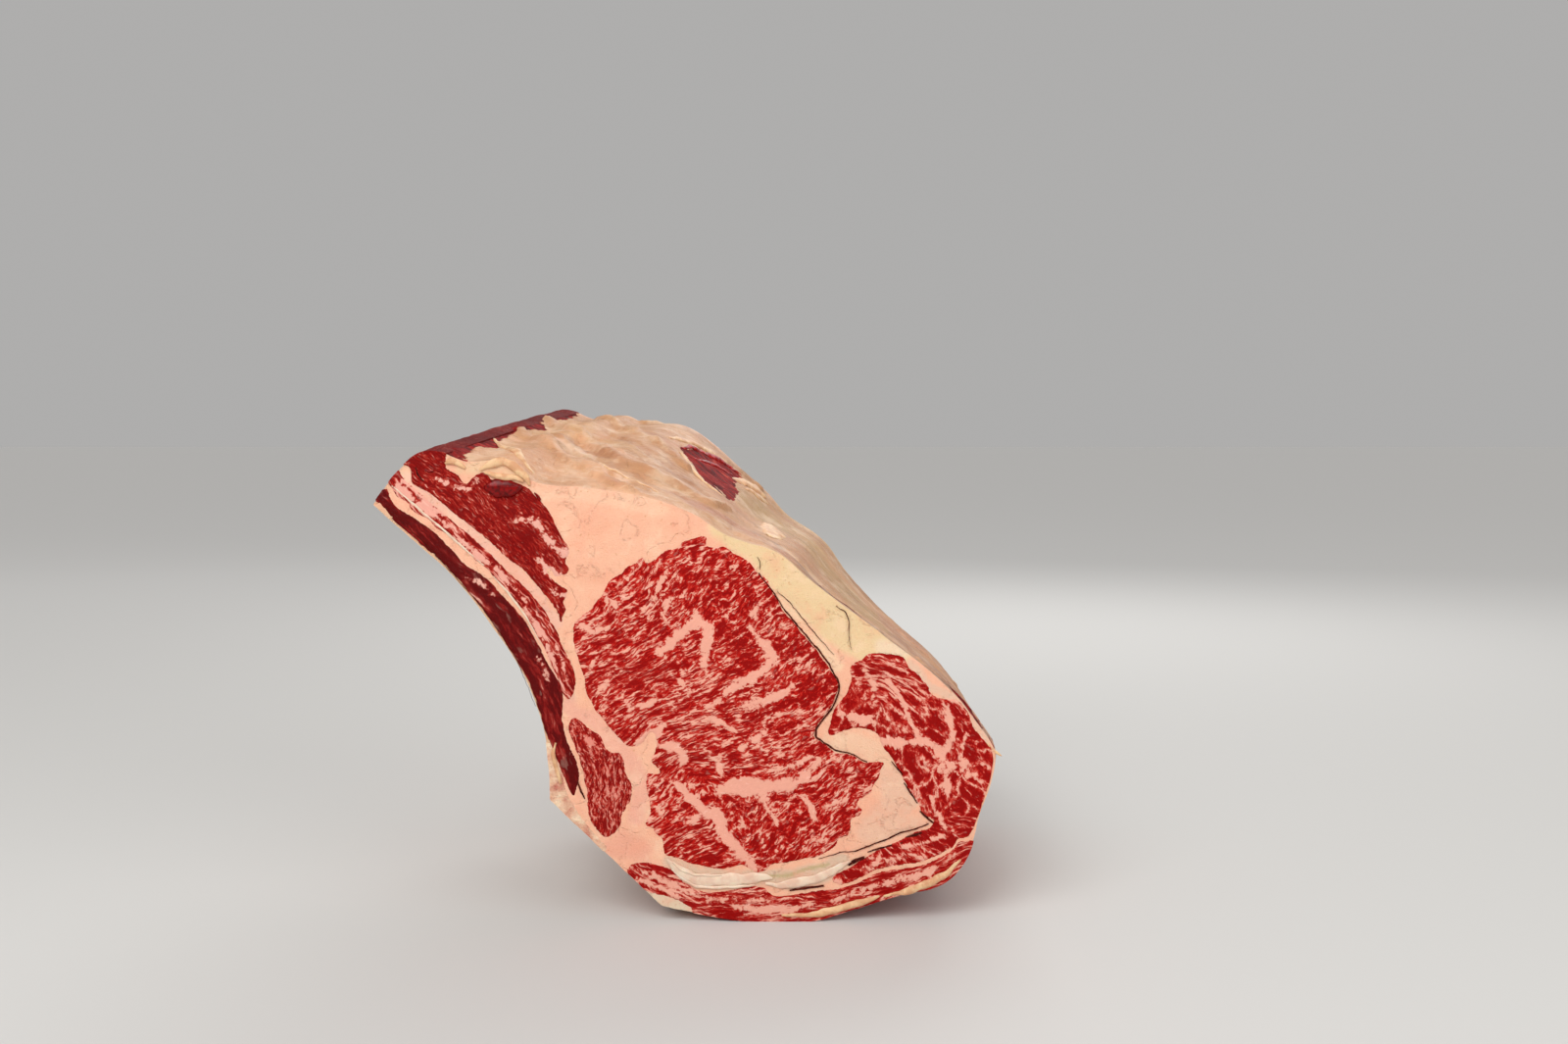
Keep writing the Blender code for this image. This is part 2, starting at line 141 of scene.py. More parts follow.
TAIL = [
    (-119.5, 198.5), (-124, 200, CORNER), (-124, 212, CORNER), (-103.8, 212, CORNER),
    (-103.5, 198, CORNER), (-99, 195.5), (-95, 191.5), (-93, 193.5), (-90, 196), (-86.5, 196),
    (-84.5, 193.5), (-79, 192), (-72, 191), (-68.5, 189.5), (-65.5, 186), (-62.5, 183), (-60, 180),
    (-57, 174), (-54.5, 169), (-52, 165), (-51, 162), (-52, 160.5), (-53, 157.5), (-51.5, 155),
    (-52, 153), (-55, 151.5), (-57.5, 151.5), (-60.5, 155), (-56.5, 148.5), (-54, 147), (-52, 145.5),
    (-52.5, 143), (-54, 140), (-53, 137.5), (-54.5, 133.5), (-55, 131.5), (-56, 134.5), (-58.5, 139),
    (-61.5, 143), (-66, 148.5), (-70.5, 153.5), (-75.5, 157.5), (-80.5, 161.5), (-85, 166),
    (-90, 170.5), (-96, 175), (-101.5, 179.5), (-107.5, 184.5), (-112, 188), (-118.5, 192),
]
STRIP = [
    (-128.5, 203, CORNER), (-122, 194, CORNER), (-118.5, 190.5), (-114, 186.5), (-109.5, 182.5),
    (-103.5, 177.5), (-98.5, 173), (-93.5, 169), (-88.5, 164.5), (-84.5, 160.5), (-81, 157), (-77, 153),
    (-72.5, 149), (-68.5, 145), (-65, 140.5), (-61.5, 136), (-59.5, 132), (-57, 128), (-55.5, 124),
    (-53, 118), (-51, 114), (-49.5, 110), (-49, 105), (-50, 101), (-52, 98), (-54.5, 100),
    (-56.5, 106), (-59, 112), (-61.5, 118), (-64.5, 124), (-68, 130), (-71, 136), (-75, 141),
    (-79, 146), (-83, 150), (-86.5, 154.5), (-91, 158), (-95, 162), (-98.5, 165), (-101, 167.5),
    (-105, 170.5), (-109, 173), (-111.5, 176), (-118, 179.5), (-121, 183.5), (-125, 186),
    (-128.5, 192, CORNER), (-133, 195, CORNER),
]
RIB_MEAT = [
    (-129, 189, CORNER), (-127, 184), (-123, 180), (-118.5, 177.5), (-113, 173.5), (-109, 170.5),
    (-105, 166.5), (-101, 162.5), (-98, 158.5), (-95, 156), (-90, 153), (-85, 149), (-81, 144),
    (-77, 140), (-73.5, 136), (-69, 130), (-66, 124), (-63, 118), (-60.5, 112.5), (-57.5, 108),
    (-55, 103), (-54.5, 96.5), (-55, 90.5), (-54, 83.5), (-52.5, 79), (-50, 73.5), (-48.5, 68.5),
    (-48, 62.5), (-50.5, 54.5, CORNER), (-54.6, 63.6), (-57.6, 71.6), (-62.2, 83.7), (-64.2, 91.6), (-70.2, 107.8),
    (-76.4, 118.4), (-83.1, 129.6), (-92.8, 142.3), (-102.7, 154.2), (-111.7, 162.8), (-119.8, 169.7),
    (-133.5, 184, CORNER), (-141, 191, CORNER),
]
CHINE_BONE = [
    (-67, 80, CORNER), (-61.5, 79, CORNER), (-59.5, 78), (-58.5, 73.5), (-56, 68.5), (-55, 64),
    (-54, 59), (-52, 54.5), (-44, 42), (-39, 36.5), (-36, 33, CORNER), (-42, 26, CORNER),
    (-68, 50, CORNER),
]
BOTTOM = [
    (132, 33.5, CORNER), (117, 35.2), (115, 32.5), (109, 28.7), (101, 25.2), (91.5, 23.7), (81.5, 21.7),
    (73, 17.3), (65, 14.8), (58.5, 14.2), (50, 12.9), (43.5, 12), (39, 11.2), (35, 12.5), (32.5, 15),
    (27, 15.5), (20, 14.5), (12.5, 13.3), (5.5, 13.3), (2.5, 14.3), (-2.5, 17.8), (-7, 22.5),
    (-13, 25), (-21, 26.5), (-27, 24), (-23.5, 18), (-17, 12.8), (-10, 11), (-4, 8.6), (1, 5), (3, 0),
    (4, -12, CORNER), (132, -12, CORNER),
]

# Thick fat veins inside the muscles: points (x, z, width).
EYE_VEINS = [
    [(-12, 118.5, 3.5), (-8, 122.5, 4.4), (-4, 126.5, 4.4), (0, 129.5, 4.6), (4, 132.5, 5), (7.5, 129.5, 5),
     (8, 125, 4.4), (7.5, 120.5, 4.2), (6.5, 115, 3.6), (7.5, 110, 2.6)],
    [(26.5, 130, 2), (30.5, 124.5, 3), (34.5, 120, 4.2), (37, 116, 4.4), (34, 112.5, 4), (27.5, 108, 3.8),
     (21, 104, 3.6), (15, 100, 2.6), (10.5, 96, 1.6), (7.5, 94.5, 1)],
    [(44.5, 103.5, 2), (38, 99.5, 3.4), (30, 97, 4.4), (22, 95, 3)],
    [(-11, 151.5, 1.4), (-13, 148.5, 3), (-15, 143, 2.4)],
    [(-7, 143, 1), (-9.5, 140, 2.4), (-11, 135.5, 2.6), (-9, 131.5, 1.6)],
    [(-35, 141.5, 1.2), (-31.5, 138.5, 4)],
    [(-46, 131, 1.6), (-42, 127.5, 3), (-35, 129.5, 1.6)],
    [(-42.5, 112.5, 1.2), (-38.5, 116.5, 1.6)],
    [(-26.5, 150, 1), (-23, 154, 1.8), (-20, 158, 0.8)],
    [(-26, 93.5, 2), (-20, 95, 2.4), (-15, 97.5, 1.2)],
    [(-35, 107, 2), (-39, 101, 2.6)],
    [(-21, 68, 8), (-20, 76, 9), (-17, 82, 6), (-11, 87, 1.6)],
    [(-13, 77, 2), (-5, 77.5, 4), (-2.5, 73, 4), (-4, 68.5, 2)],
    [(10, 56.5, 1.4), (13.5, 57.5, 4), (20, 60.5, 7.6), (27, 59.5, 8.6), (35, 60, 6), (42.5, 60, 5),
     (49, 62.5, 4), (53, 67, 3), (56.5, 72, 1.5)],
    [(-9, 64, 1.6), (-5, 60, 2.6), (0, 54.5, 4), (4.5, 51, 4.2), (11, 47.5, 5), (14, 43, 5), (16.5, 37.5, 5),
     (21, 32.5, 4.5), (24, 28.5, 4), (27, 24, 3), (28, 18, 3)],
    [(31.5, 54.5, 2), (34, 49, 2), (38, 44, 1)],
    [(48.5, 55.5, 1.6), (52.5, 51.5, 2.5), (55, 45, 1.4)],
    [(29.5, 138.5, 2.8), (26.5, 135, 2)],
    [(2, 88, 1.4), (9, 90, 2.2), (15, 87.5, 1.8), (20, 84, 1)],
    [(38, 68, 1.2), (45, 69, 1.6), (52, 73, 1.2)],
    [(8, 74, 1.4), (13, 70, 2.4), (14, 64, 2)],
    [(-2, 43, 1.2), (4, 46, 2), (10, 47, 2)],
    [(58, 50, 1.4), (64, 53, 1.6), (70, 55, 1)],
    [(22, 77, 1), (28, 80, 1.6), (33, 84, 1)],
    [(0, 101, 1), (-4, 106, 2), (-3, 111, 1.2)],
]
CAP_VEINS = [
    [(86.5, 106, 2.6), (92, 98, 3), (96.5, 87.5, 3), (100, 80, 3.6)],
    [(103, 80, 3), (108, 75, 4), (113, 69, 3)],
    [(112, 95, 2), (113, 88, 3), (114, 81, 2.4), (110, 72, 3.4)],
    [(110, 69, 3.4), (111.5, 60, 2.8), (113, 52, 1.6)],
    [(100, 80, 3), (92, 79, 3.2), (86, 80, 4), (78, 79, 7), (70, 78, 8), (62, 80, 5)],
    [(120, 84, 1), (118, 74, 2.6), (121, 64, 1.4)],
    [(75, 112, 1.4), (80, 104, 2.2), (79, 96, 1.6)],
    [(66, 92, 2), (72, 90, 4), (80, 88, 3)],
    [(104, 56, 1.4), (108, 48, 2.2), (112, 40, 1.2)],
    [(92, 33, 1.2), (102, 35, 2), (112, 39, 1.4)],
    [(76, 24, 1.4), (86, 27.5, 1.8), (96, 30, 1.2)],
]
TAIL_VEINS = [
    [(-77, 174.3, 1), (-71.5, 175.5, 2.2), (-67, 176.3, 2.4), (-65, 174, 2.6), (-61, 168.5, 2.6),
     (-56.5, 163.5, 2.8), (-50.5, 160, 3.4)],
    [(-64, 159, 1), (-61, 155.5, 2), (-57, 152, 3), (-52, 150, 3.6)],
    [(-60, 146.5, 1), (-56.5, 144, 1.6), (-53, 143.5, 1.6)],
    [(-100, 190.5, 1), (-95, 189, 1.8), (-91, 192.5, 1.6)],
    [(-108, 194, 0.8), (-102, 190, 1.2), (-97, 189, 1)],
]
STRIP_VEINS = [
    [(-124, 190, 2.4), (-116, 183, 3), (-107, 176.5, 2.4), (-98, 170, 1.4)],
    [(-122, 193, 1.4), (-113, 184.5, 1.4), (-104, 177, 1)],
    [(-101, 168.5, 1.6), (-95, 165, 2.6), (-90, 160, 3.2), (-86, 157, 2)],
    [(-83, 155, 1), (-76, 147.5, 1.4), (-70, 140, 1)],
    [(-72, 139, 1), (-66, 130, 1.8), (-61.5, 121, 1.4), (-58, 113, 1)],
    [(-57, 121, 0.8), (-54.5, 114, 1.4), (-53, 106, 1)],
]
CHINE_VEINS = [
    [(-47, 84, 0.6), (-43, 79, 1), (-42, 73, 0.6)],
]
RIB_MEAT_VEINS = [
    [(-96, 151.5, 0.6), (-90, 148.5, 1.2), (-84, 143.5, 0.8)],
    [(-66, 117.5, 0.6), (-63, 112, 1.2), (-60.5, 106, 0.8)],
]
BOTTOM_VEINS = [
    [(116, 30, 1.4), (104, 22, 2), (90, 18.5, 2), (76, 14, 1.6), (62, 9.5, 1.4)],
    [(108, 20, 1), (96, 14, 1.8), (84, 10.5, 1.2)],
    [(54, 8, 1.2), (42, 5, 2), (30, 5, 2), (18, 7, 1.4)],
    [(36, 9.6, 0.8), (24, 9.4, 1.4), (8, 10.6, 2)],
    [(-25, 24, 1), (-15, 20, 2.2), (-6, 15.5, 2.4), (4, 12, 1.4)],
    [(-24, 19, 0.6), (-14, 15, 1.4), (-4, 11, 1)],
]

# The lie of the grain: (x, z, degrees from level).
EYE_GRAIN = [
    (-34, 116, 18), (-23, 130, 25), (-28, 146, 50), (-14.5, 146, 60), (6, 155, 35), (25, 146, 30),
    (33, 131, 60), (46, 112, 40), (54, 101, 45), (14, 110, 35), (-2, 99, 30), (-28, 90, 40),
    (35, 85, 30), (62, 64, 25), (46, 58, 15), (56, 37, 30), (14, 74, 25), (30, 42, 25), (-2, 53, 95),
    (-12, 48, 90), (3, 32, -25), (19, 26, -25),
]
CAP_GRAIN = [
    (80, 112, -30), (95, 108, -40), (90, 92, -60), (74, 95, 75), (66, 88, 70), (100, 70, -70),
    (112, 84, -55), (122, 62, -80), (106, 50, -75), (112, 40, 30), (95, 32, 18), (75, 24, 20),
]
CHINE_GRAIN = [(-44, 82, -50), (-38, 62, -76), (-30, 58, -100), (-36, 44, -84)]
TAIL_GRAIN = [(-110, 195, -30), (-90, 180, -42), (-70, 165, -45), (-58, 145, -55)]
STRIP_GRAIN = [(-118, 186, -42), (-95, 164, -42), (-75, 146, -48), (-58, 118, -65)]
RIB_GRAIN = [(-118, 176, -42), (-95, 152, -45), (-75, 128, -55), (-58, 90, -78)]
BOTTOM_GRAIN = [(110, 24, 25), (80, 14, 16), (50, 7, 5), (20, 9, -3), (-15, 20, -30)]


def srgb(red, green, blue):
    """A colour given in 8-bit display values, as the linear values that shaders take."""
    return tuple(
        value / 255 / 12.92 if value <= 10 else ((value / 255 + 0.055) / 1.055) ** 2.4
        for value in (red, green, blue)
    )


def rise(value, low, high):
    share = np.clip((value - low) / (high - low), 0, 1)
    return share * share * (3 - 2 * share)


def bump(value, centre, half_width):
    return np.exp(-(((value - centre) / half_width) ** 2))


def settle(section, y):
    """Puts points of the front cut's outline, in millimetres, into the roast at depth y, in metres."""
    share = y / DEPTH + 0.5
    x, z = section[:, 0] * MM, section[:, 1] * MM
    crown = bump(x, CROWN_CENTRE_X, CROWN_HALF_WIDTH) * rise(z, CROWN_FROM_Z, CROWN_FULL_Z)
    z = z + CROWN_RISE * (1 - (1 - share) ** 2) * crown
    shoulder = bump(x, SHOULDER_CENTRE_X, SHOULDER_HALF_WIDTH)
    z = z - SHOULDER_DIP * share * shoulder * rise(z, SHOULDER_FROM_Z, SHOULDER_FULL_Z)
    turn = BACK_TURN * share
    from_pivot = x - TURN_PIVOT_X
    x = TURN_PIVOT_X + from_pivot * np.cos(turn) + z * np.sin(turn)
    z = z * np.cos(turn) - from_pivot * np.sin(turn)
    slope = BASE_SLOPE_FRONT + (BASE_SLOPE_BACK - BASE_SLOPE_FRONT) * share
    pressed = rise(share * DEPTH, 0, BASE_PRESS_DEPTH) * rise(x, BASE_PRESS_FROM_X, BASE_PRESS_FULL_X)
    reach = np.maximum(TURN_PIVOT_X - x, 0)
    z = z - slope * reach * pressed * np.exp(-np.maximum(z, 0) / BASE_DECAY_HEIGHT)
    return np.stack([x - SECTION_CENTRE_X, np.broadcast_to(y, x.shape), z], axis=1)


def rib_nearness(y):
    """One over the middle of a rib, and nought between the ribs."""
    nearest = np.min([np.abs(y - centre) for centre in RIB_CENTRES], axis=0)
    return bump(nearest, 0, RIB_HALF_WIDTH)


def smooth_line(points, spacing, closed=True):
    """Even points along a smooth line through the knots, and each one's place among the knots."""
    knots = np.array([point[:2] for point in points], float)
    count = len(points)
    runs, places = [], []

    def along(before, at, after):
        first, second = at - before, after - at
        both = first / max(np.linalg.norm(first), 1e-9) + second / max(np.linalg.norm(second), 1e-9)
        return both / max(np.linalg.norm(both), 1e-9)

    for index in range(count if closed else count - 1):
        start, end = knots[index], knots[(index + 1) % count]
        before = knots[index - 1] if closed or index else start
        after = knots[(index + 2) % count] if closed or index + 2 < count else end
        reach = np.linalg.norm(end - start)
        leave = (end - start) if len(points[index]) > 2 else along(before, start, end) * reach
        arrive = end - start
        if len(points[(index + 1) % count]) < 3:
            arrive = along(start, end, after) * reach
        t = np.linspace(0, 1, max(3, int(reach / spacing * 4)), endpoint=False)[:, None]
        runs.append(
            (2 * t**3 - 3 * t**2 + 1) * start + (t**3 - 2 * t**2 + t) * leave
            + (3 * t**2 - 2 * t**3) * end + (t**3 - t**2) * arrive
        )
        places.append(index + t[:, 0])
    line, place = np.concatenate(runs), np.concatenate(places)
    if closed:
        line, place = np.vstack([line, line[:1]]), np.append(place, count)
    else:
        line, place = np.vstack([line, knots[-1:]]), np.append(place, count - 1)
    length = np.insert(np.cumsum(np.linalg.norm(np.diff(line, axis=0), axis=1)), 0, 0)
    steps = max(3, round(length[-1] / spacing))
    wanted = np.linspace(0, length[-1], steps + (0 if closed else 1), endpoint=not closed)
    even = np.stack([np.interp(wanted, length, line[:, axis]) for axis in (0, 1)], axis=1)
    return even, np.interp(wanted, length, place)


def inside(points, outline):
    """Which points lie inside the closed outline."""
    found = np.zeros(len(points), bool)
    x, z = points[:, 0], points[:, 1]
    for (ax, az), (bx, bz) in zip(outline, np.roll(outline, -1, axis=0)):
        if az == bz:
            continue
        crosses = (az > z) != (bz > z)
        found ^= crosses & (x < ax + (z - az) * (bx - ax) / (bz - az))
    return found


def edge_distance(points, outline):
    """How far each point is from the outline, negative inside, in millimetres."""
    tree = KDTree(len(outline))
    for index, (x, z) in enumerate(outline):
        tree.insert((x, z, 0), index)
    tree.balance()
    near = np.array([tree.find((x, z, 0))[2] for x, z in points])
    return np.where(inside(points, outline), -near, near)


def outward(outline):
    """Outward directions at the points of a closed outline."""
    ahead = np.roll(outline, -1, axis=0) - np.roll(outline, 1, axis=0)
    side = np.stack([-ahead[:, 1], ahead[:, 0]], axis=1)
    side /= np.linalg.norm(side, axis=1)[:, None] + 1e-9
    area = np.sum(outline[:, 0] * np.roll(outline[:, 1], -1) - outline[:, 1] * np.roll(outline[:, 0], -1))
    return -side if area > 0 else side


def path_distance(points, path):
    """Distance to a path and the path's width there, for a path of (..., width) rows."""
    best = np.full(len(points), 1e9)
    width = np.zeros(len(points))
    path = np.array(path, float)
    for start, end in zip(path, path[1:]):
        run = end[:-1] - start[:-1]
        share = np.clip((points - start[:-1]) @ run / max(run @ run, 1e-9), 0, 1)
        away = np.linalg.norm(points - start[:-1] - share[:, None] * run, axis=1)
        nearer = away < best
        best[nearer] = away[nearer]
        width[nearer] = (start[-1] + share * (end[-1] - start[-1]))[nearer]
    return best, width


def vein_depth(points, veins):
    """How deep each point is inside the nearest vein, in millimetres, negative outside."""
    deepest = np.full(len(points), -20.0)
    for vein in veins:
        away, width = path_distance(points, vein)
        deepest = np.maximum(deepest, width / 2 - away)
    return deepest


def hashed(ix, iy, iz, seed):
    mixed = (ix * 374761393 + iy * 668265263 + iz * 1440662683 + seed * 974634777) & 0xFFFFFFFF
    mixed = ((mixed ^ (mixed >> 13)) * 1274126177) & 0xFFFFFFFF
    return (mixed ^ (mixed >> 16)) / 0xFFFFFFFF


def noise(points, scale, seed, octaves=1):
    """Smooth random values from -1 to 1 at 3D points, with features of about 1/scale."""
    total, weight = np.zeros(len(points)), 0.0
    for octave in range(octaves):
        at = points * scale * 2**octave + seed * 17.3
        cell = np.floor(at).astype(np.int64)
        part = at - cell
        part = part * part * (3 - 2 * part)
        value = np.zeros(len(points))
        for corner in range(8):
            step = [corner & 1, corner >> 1 & 1, corner >> 2 & 1]
            share = np.prod([part[:, k] if step[k] else 1 - part[:, k] for k in range(3)], axis=0)
            value += share * hashed(cell[:, 0] + step[0], cell[:, 1] + step[1], cell[:, 2] + step[2], seed + octave)
        total += (value * 2 - 1) * 0.5**octave
        weight += 0.5**octave
    return total / weight


FIELD_LOW, FIELD_CELLS = np.array([-176.0, -56.0]), (352, 320)


def grain_places(points, lie):
    """Coordinates along and across the grain, in millimetres, from the angles that it has here and there."""
    wide, high = FIELD_CELLS
    x, z = np.meshgrid(FIELD_LOW[0] + np.arange(wide), FIELD_LOW[1] + np.arange(high), indexing="ij")
    angle, weight = np.zeros(x.shape), np.zeros(x.shape)
    for at_x, at_z, degrees in lie:
        pull = 1 / ((x - at_x) ** 2 + (z - at_z) ** 2 + 30) ** 2
        angle += pull * math.radians(degrees)
        weight += pull
    angle /= weight
    mean = angle.mean()
    kx = 2 * np.pi * np.fft.fftfreq(wide)[:, None]
    kz = 2 * np.pi * np.fft.fftfreq(high)[None, :]
    square = kx**2 + kz**2
    square[0, 0] = 1
    found = []
    for quarter in (0, math.pi / 2):
        flow_x = np.cos(angle + quarter) - math.cos(mean + quarter)
        flow_z = np.sin(angle + quarter) - math.sin(mean + quarter)
        spectrum = -1j * (kx * np.fft.fft2(flow_x) + kz * np.fft.fft2(flow_z)) / square
        field = np.real(np.fft.ifft2(spectrum))
        field += x * math.cos(mean + quarter) + z * math.sin(mean + quarter)
        at = np.clip(points - FIELD_LOW, 0, [wide - 1.001, high - 1.001])
        cell = at.astype(int)
        part = at - cell
        i, j, a, b = cell[:, 0], cell[:, 1], part[:, 0], part[:, 1]
        found.append(
            field[i, j] * (1 - a) * (1 - b) + field[i + 1, j] * a * (1 - b)
            + field[i, j + 1] * (1 - a) * b + field[i + 1, j + 1] * a * b
        )
    return np.stack(found, axis=1)


def filled(outline, spacing):
    """The outline filled with near-even triangles: its points first, then those within."""
    low, high = outline.min(axis=0), outline.max(axis=0)
    rows = np.arange(low[1], high[1], spacing * 0.866)
    grid = []
    for index, row in enumerate(rows):
        across = np.arange(low[0] + (index % 2) * spacing / 2, high[0], spacing)
        grid.append(np.stack([across, np.full(len(across), row)], axis=1))
    grid = np.concatenate(grid)
    wobble = np.stack([hashed(np.arange(len(grid)), 7, 3, 1), hashed(np.arange(len(grid)), 5, 9, 2)], axis=1)
    grid += (wobble - 0.5) * spacing * 0.35
    grid = grid[edge_distance(grid, outline) < -0.6 * spacing]
    points = np.concatenate([outline, grid])
    count = len(outline)
    edges = [(index, (index + 1) % count) for index in range(count)]
    made = delaunay_2d_cdt([Vector(point) for point in points], edges, [], 1, 1e-6)
    if len(made[0]) != len(points):
        raise RuntimeError("an outline crosses itself or repeats a point")
    return points, np.array(made[2])


class Sweep:
    """A closed shape that runs from the front cut to the back cut, with attributes at its points."""

    def __init__(self, outline, spacing, stations, hollow=None):
        self.ring = len(outline)
        flat, triangles = filled(outline, spacing)
        self.flat_count = len(flat)
        if hollow is not None:
            hidden = hollow(flat)
            triangles = triangles[~hidden[triangles].all(axis=1)]
        depth_edge = edge_distance(flat, outline)
        depth_edge[: self.ring] = 0
        ends = [-DEPTH / 2, DEPTH / 2]
        sections, depths, kinds, edges = [], [], [], []
        for end in ends:
            sections.append(flat)
            depths.append(np.full(len(flat), end))
            kinds.append(np.zeros(len(flat)))
            edges.append(-depth_edge)
        for station in stations:
            sections.append(outline)
            depths.append(np.full(self.ring, station))
            kinds.append(np.ones(self.ring))
            edges.append(np.zeros(self.ring))
        self.section = np.concatenate(sections)
        self.depth = np.concatenate(depths)
        self.wall = np.concatenate(kinds)
        self.edge = np.concatenate(edges)
        self.around = np.tile(np.arange(self.ring), len(stations))
        faces = [triangles, triangles[:, ::-1] + len(flat)]
        first = 2 * len(flat)
        starts = [0, *(first + index * self.ring for index in range(len(stations))), len(flat)]
        turn = np.arange(self.ring)
        after = (turn + 1) % self.ring
        ccw = self.area(outline) > 0
        for near, far in zip(starts, starts[1:]):
            quad = np.stack([near + turn, far + turn, far + after, near + after], axis=1)
            quad = quad if ccw else quad[:, ::-1]
            faces.append(quad[:, [0, 1, 2]])
            faces.append(quad[:, [0, 2, 3]])
        if hollow is not None:
            faces += self.inner_walls(triangles, len(flat))
        self.faces = np.concatenate(faces)
        self.drop_loose()

    @staticmethod
    def area(outline):
        ahead = np.roll(outline, -1, axis=0)
        return np.sum(outline[:, 0] * ahead[:, 1] - outline[:, 1] * ahead[:, 0]) / 2

    def inner_walls(self, triangles, count):
        sides = np.concatenate([triangles[:, [0, 1]], triangles[:, [1, 2]], triangles[:, [2, 0]]])
        present = {(a, b) for a, b in sides.tolist()}
        open_sides = [
            (a, b) for a, b in present
            if (b, a) not in present and not (a < self.ring and b < self.ring)
        ]
        a, b = np.array(sorted(open_sides)).T
        return [np.stack([b, a, a + count], axis=1), np.stack([b, a + count, b + count], axis=1)]

    def drop_loose(self):
        used = np.zeros(len(self.section), bool)
        used[self.faces] = True
        number = np.cumsum(used) - 1
        self.faces = number[self.faces]
        wall_used = used[2 * self.flat_count:]
        self.around = self.around[wall_used]
        for name in ("section", "depth", "wall", "edge"):
            setattr(self, name, getattr(self, name)[used])

    def around_all(self, values):
        """Values given round the outline, spread to the wall's points, and nought elsewhere."""
        spread = np.zeros(len(self.section))
        spread[self.wall > 0] = values[self.around]
        return spread


def to_mesh(name, points, faces, floats=None, colours=None, vectors=None):
    mesh = bpy.data.meshes.new(name)
    mesh.from_pydata(points.tolist(), [], faces.tolist())
    mesh.polygons.foreach_set("use_smooth", np.ones(len(mesh.polygons), bool))
    for title, values in (floats or {}).items():
        mesh.attributes.new(title, "FLOAT", "POINT").data.foreach_set("value", values.astype(np.float32))
    for title, values in (colours or {}).items():
        full = np.hstack([values, np.ones((len(values), 1))]).astype(np.float32)
        mesh.attributes.new(title, "FLOAT_COLOR", "POINT").data.foreach_set("color", full.ravel())
    for title, values in (vectors or {}).items():
        mesh.attributes.new(title, "FLOAT_VECTOR", "POINT").data.foreach_set("vector", values.astype(np.float32).ravel())
    mesh.update()
    return mesh


# Materials.


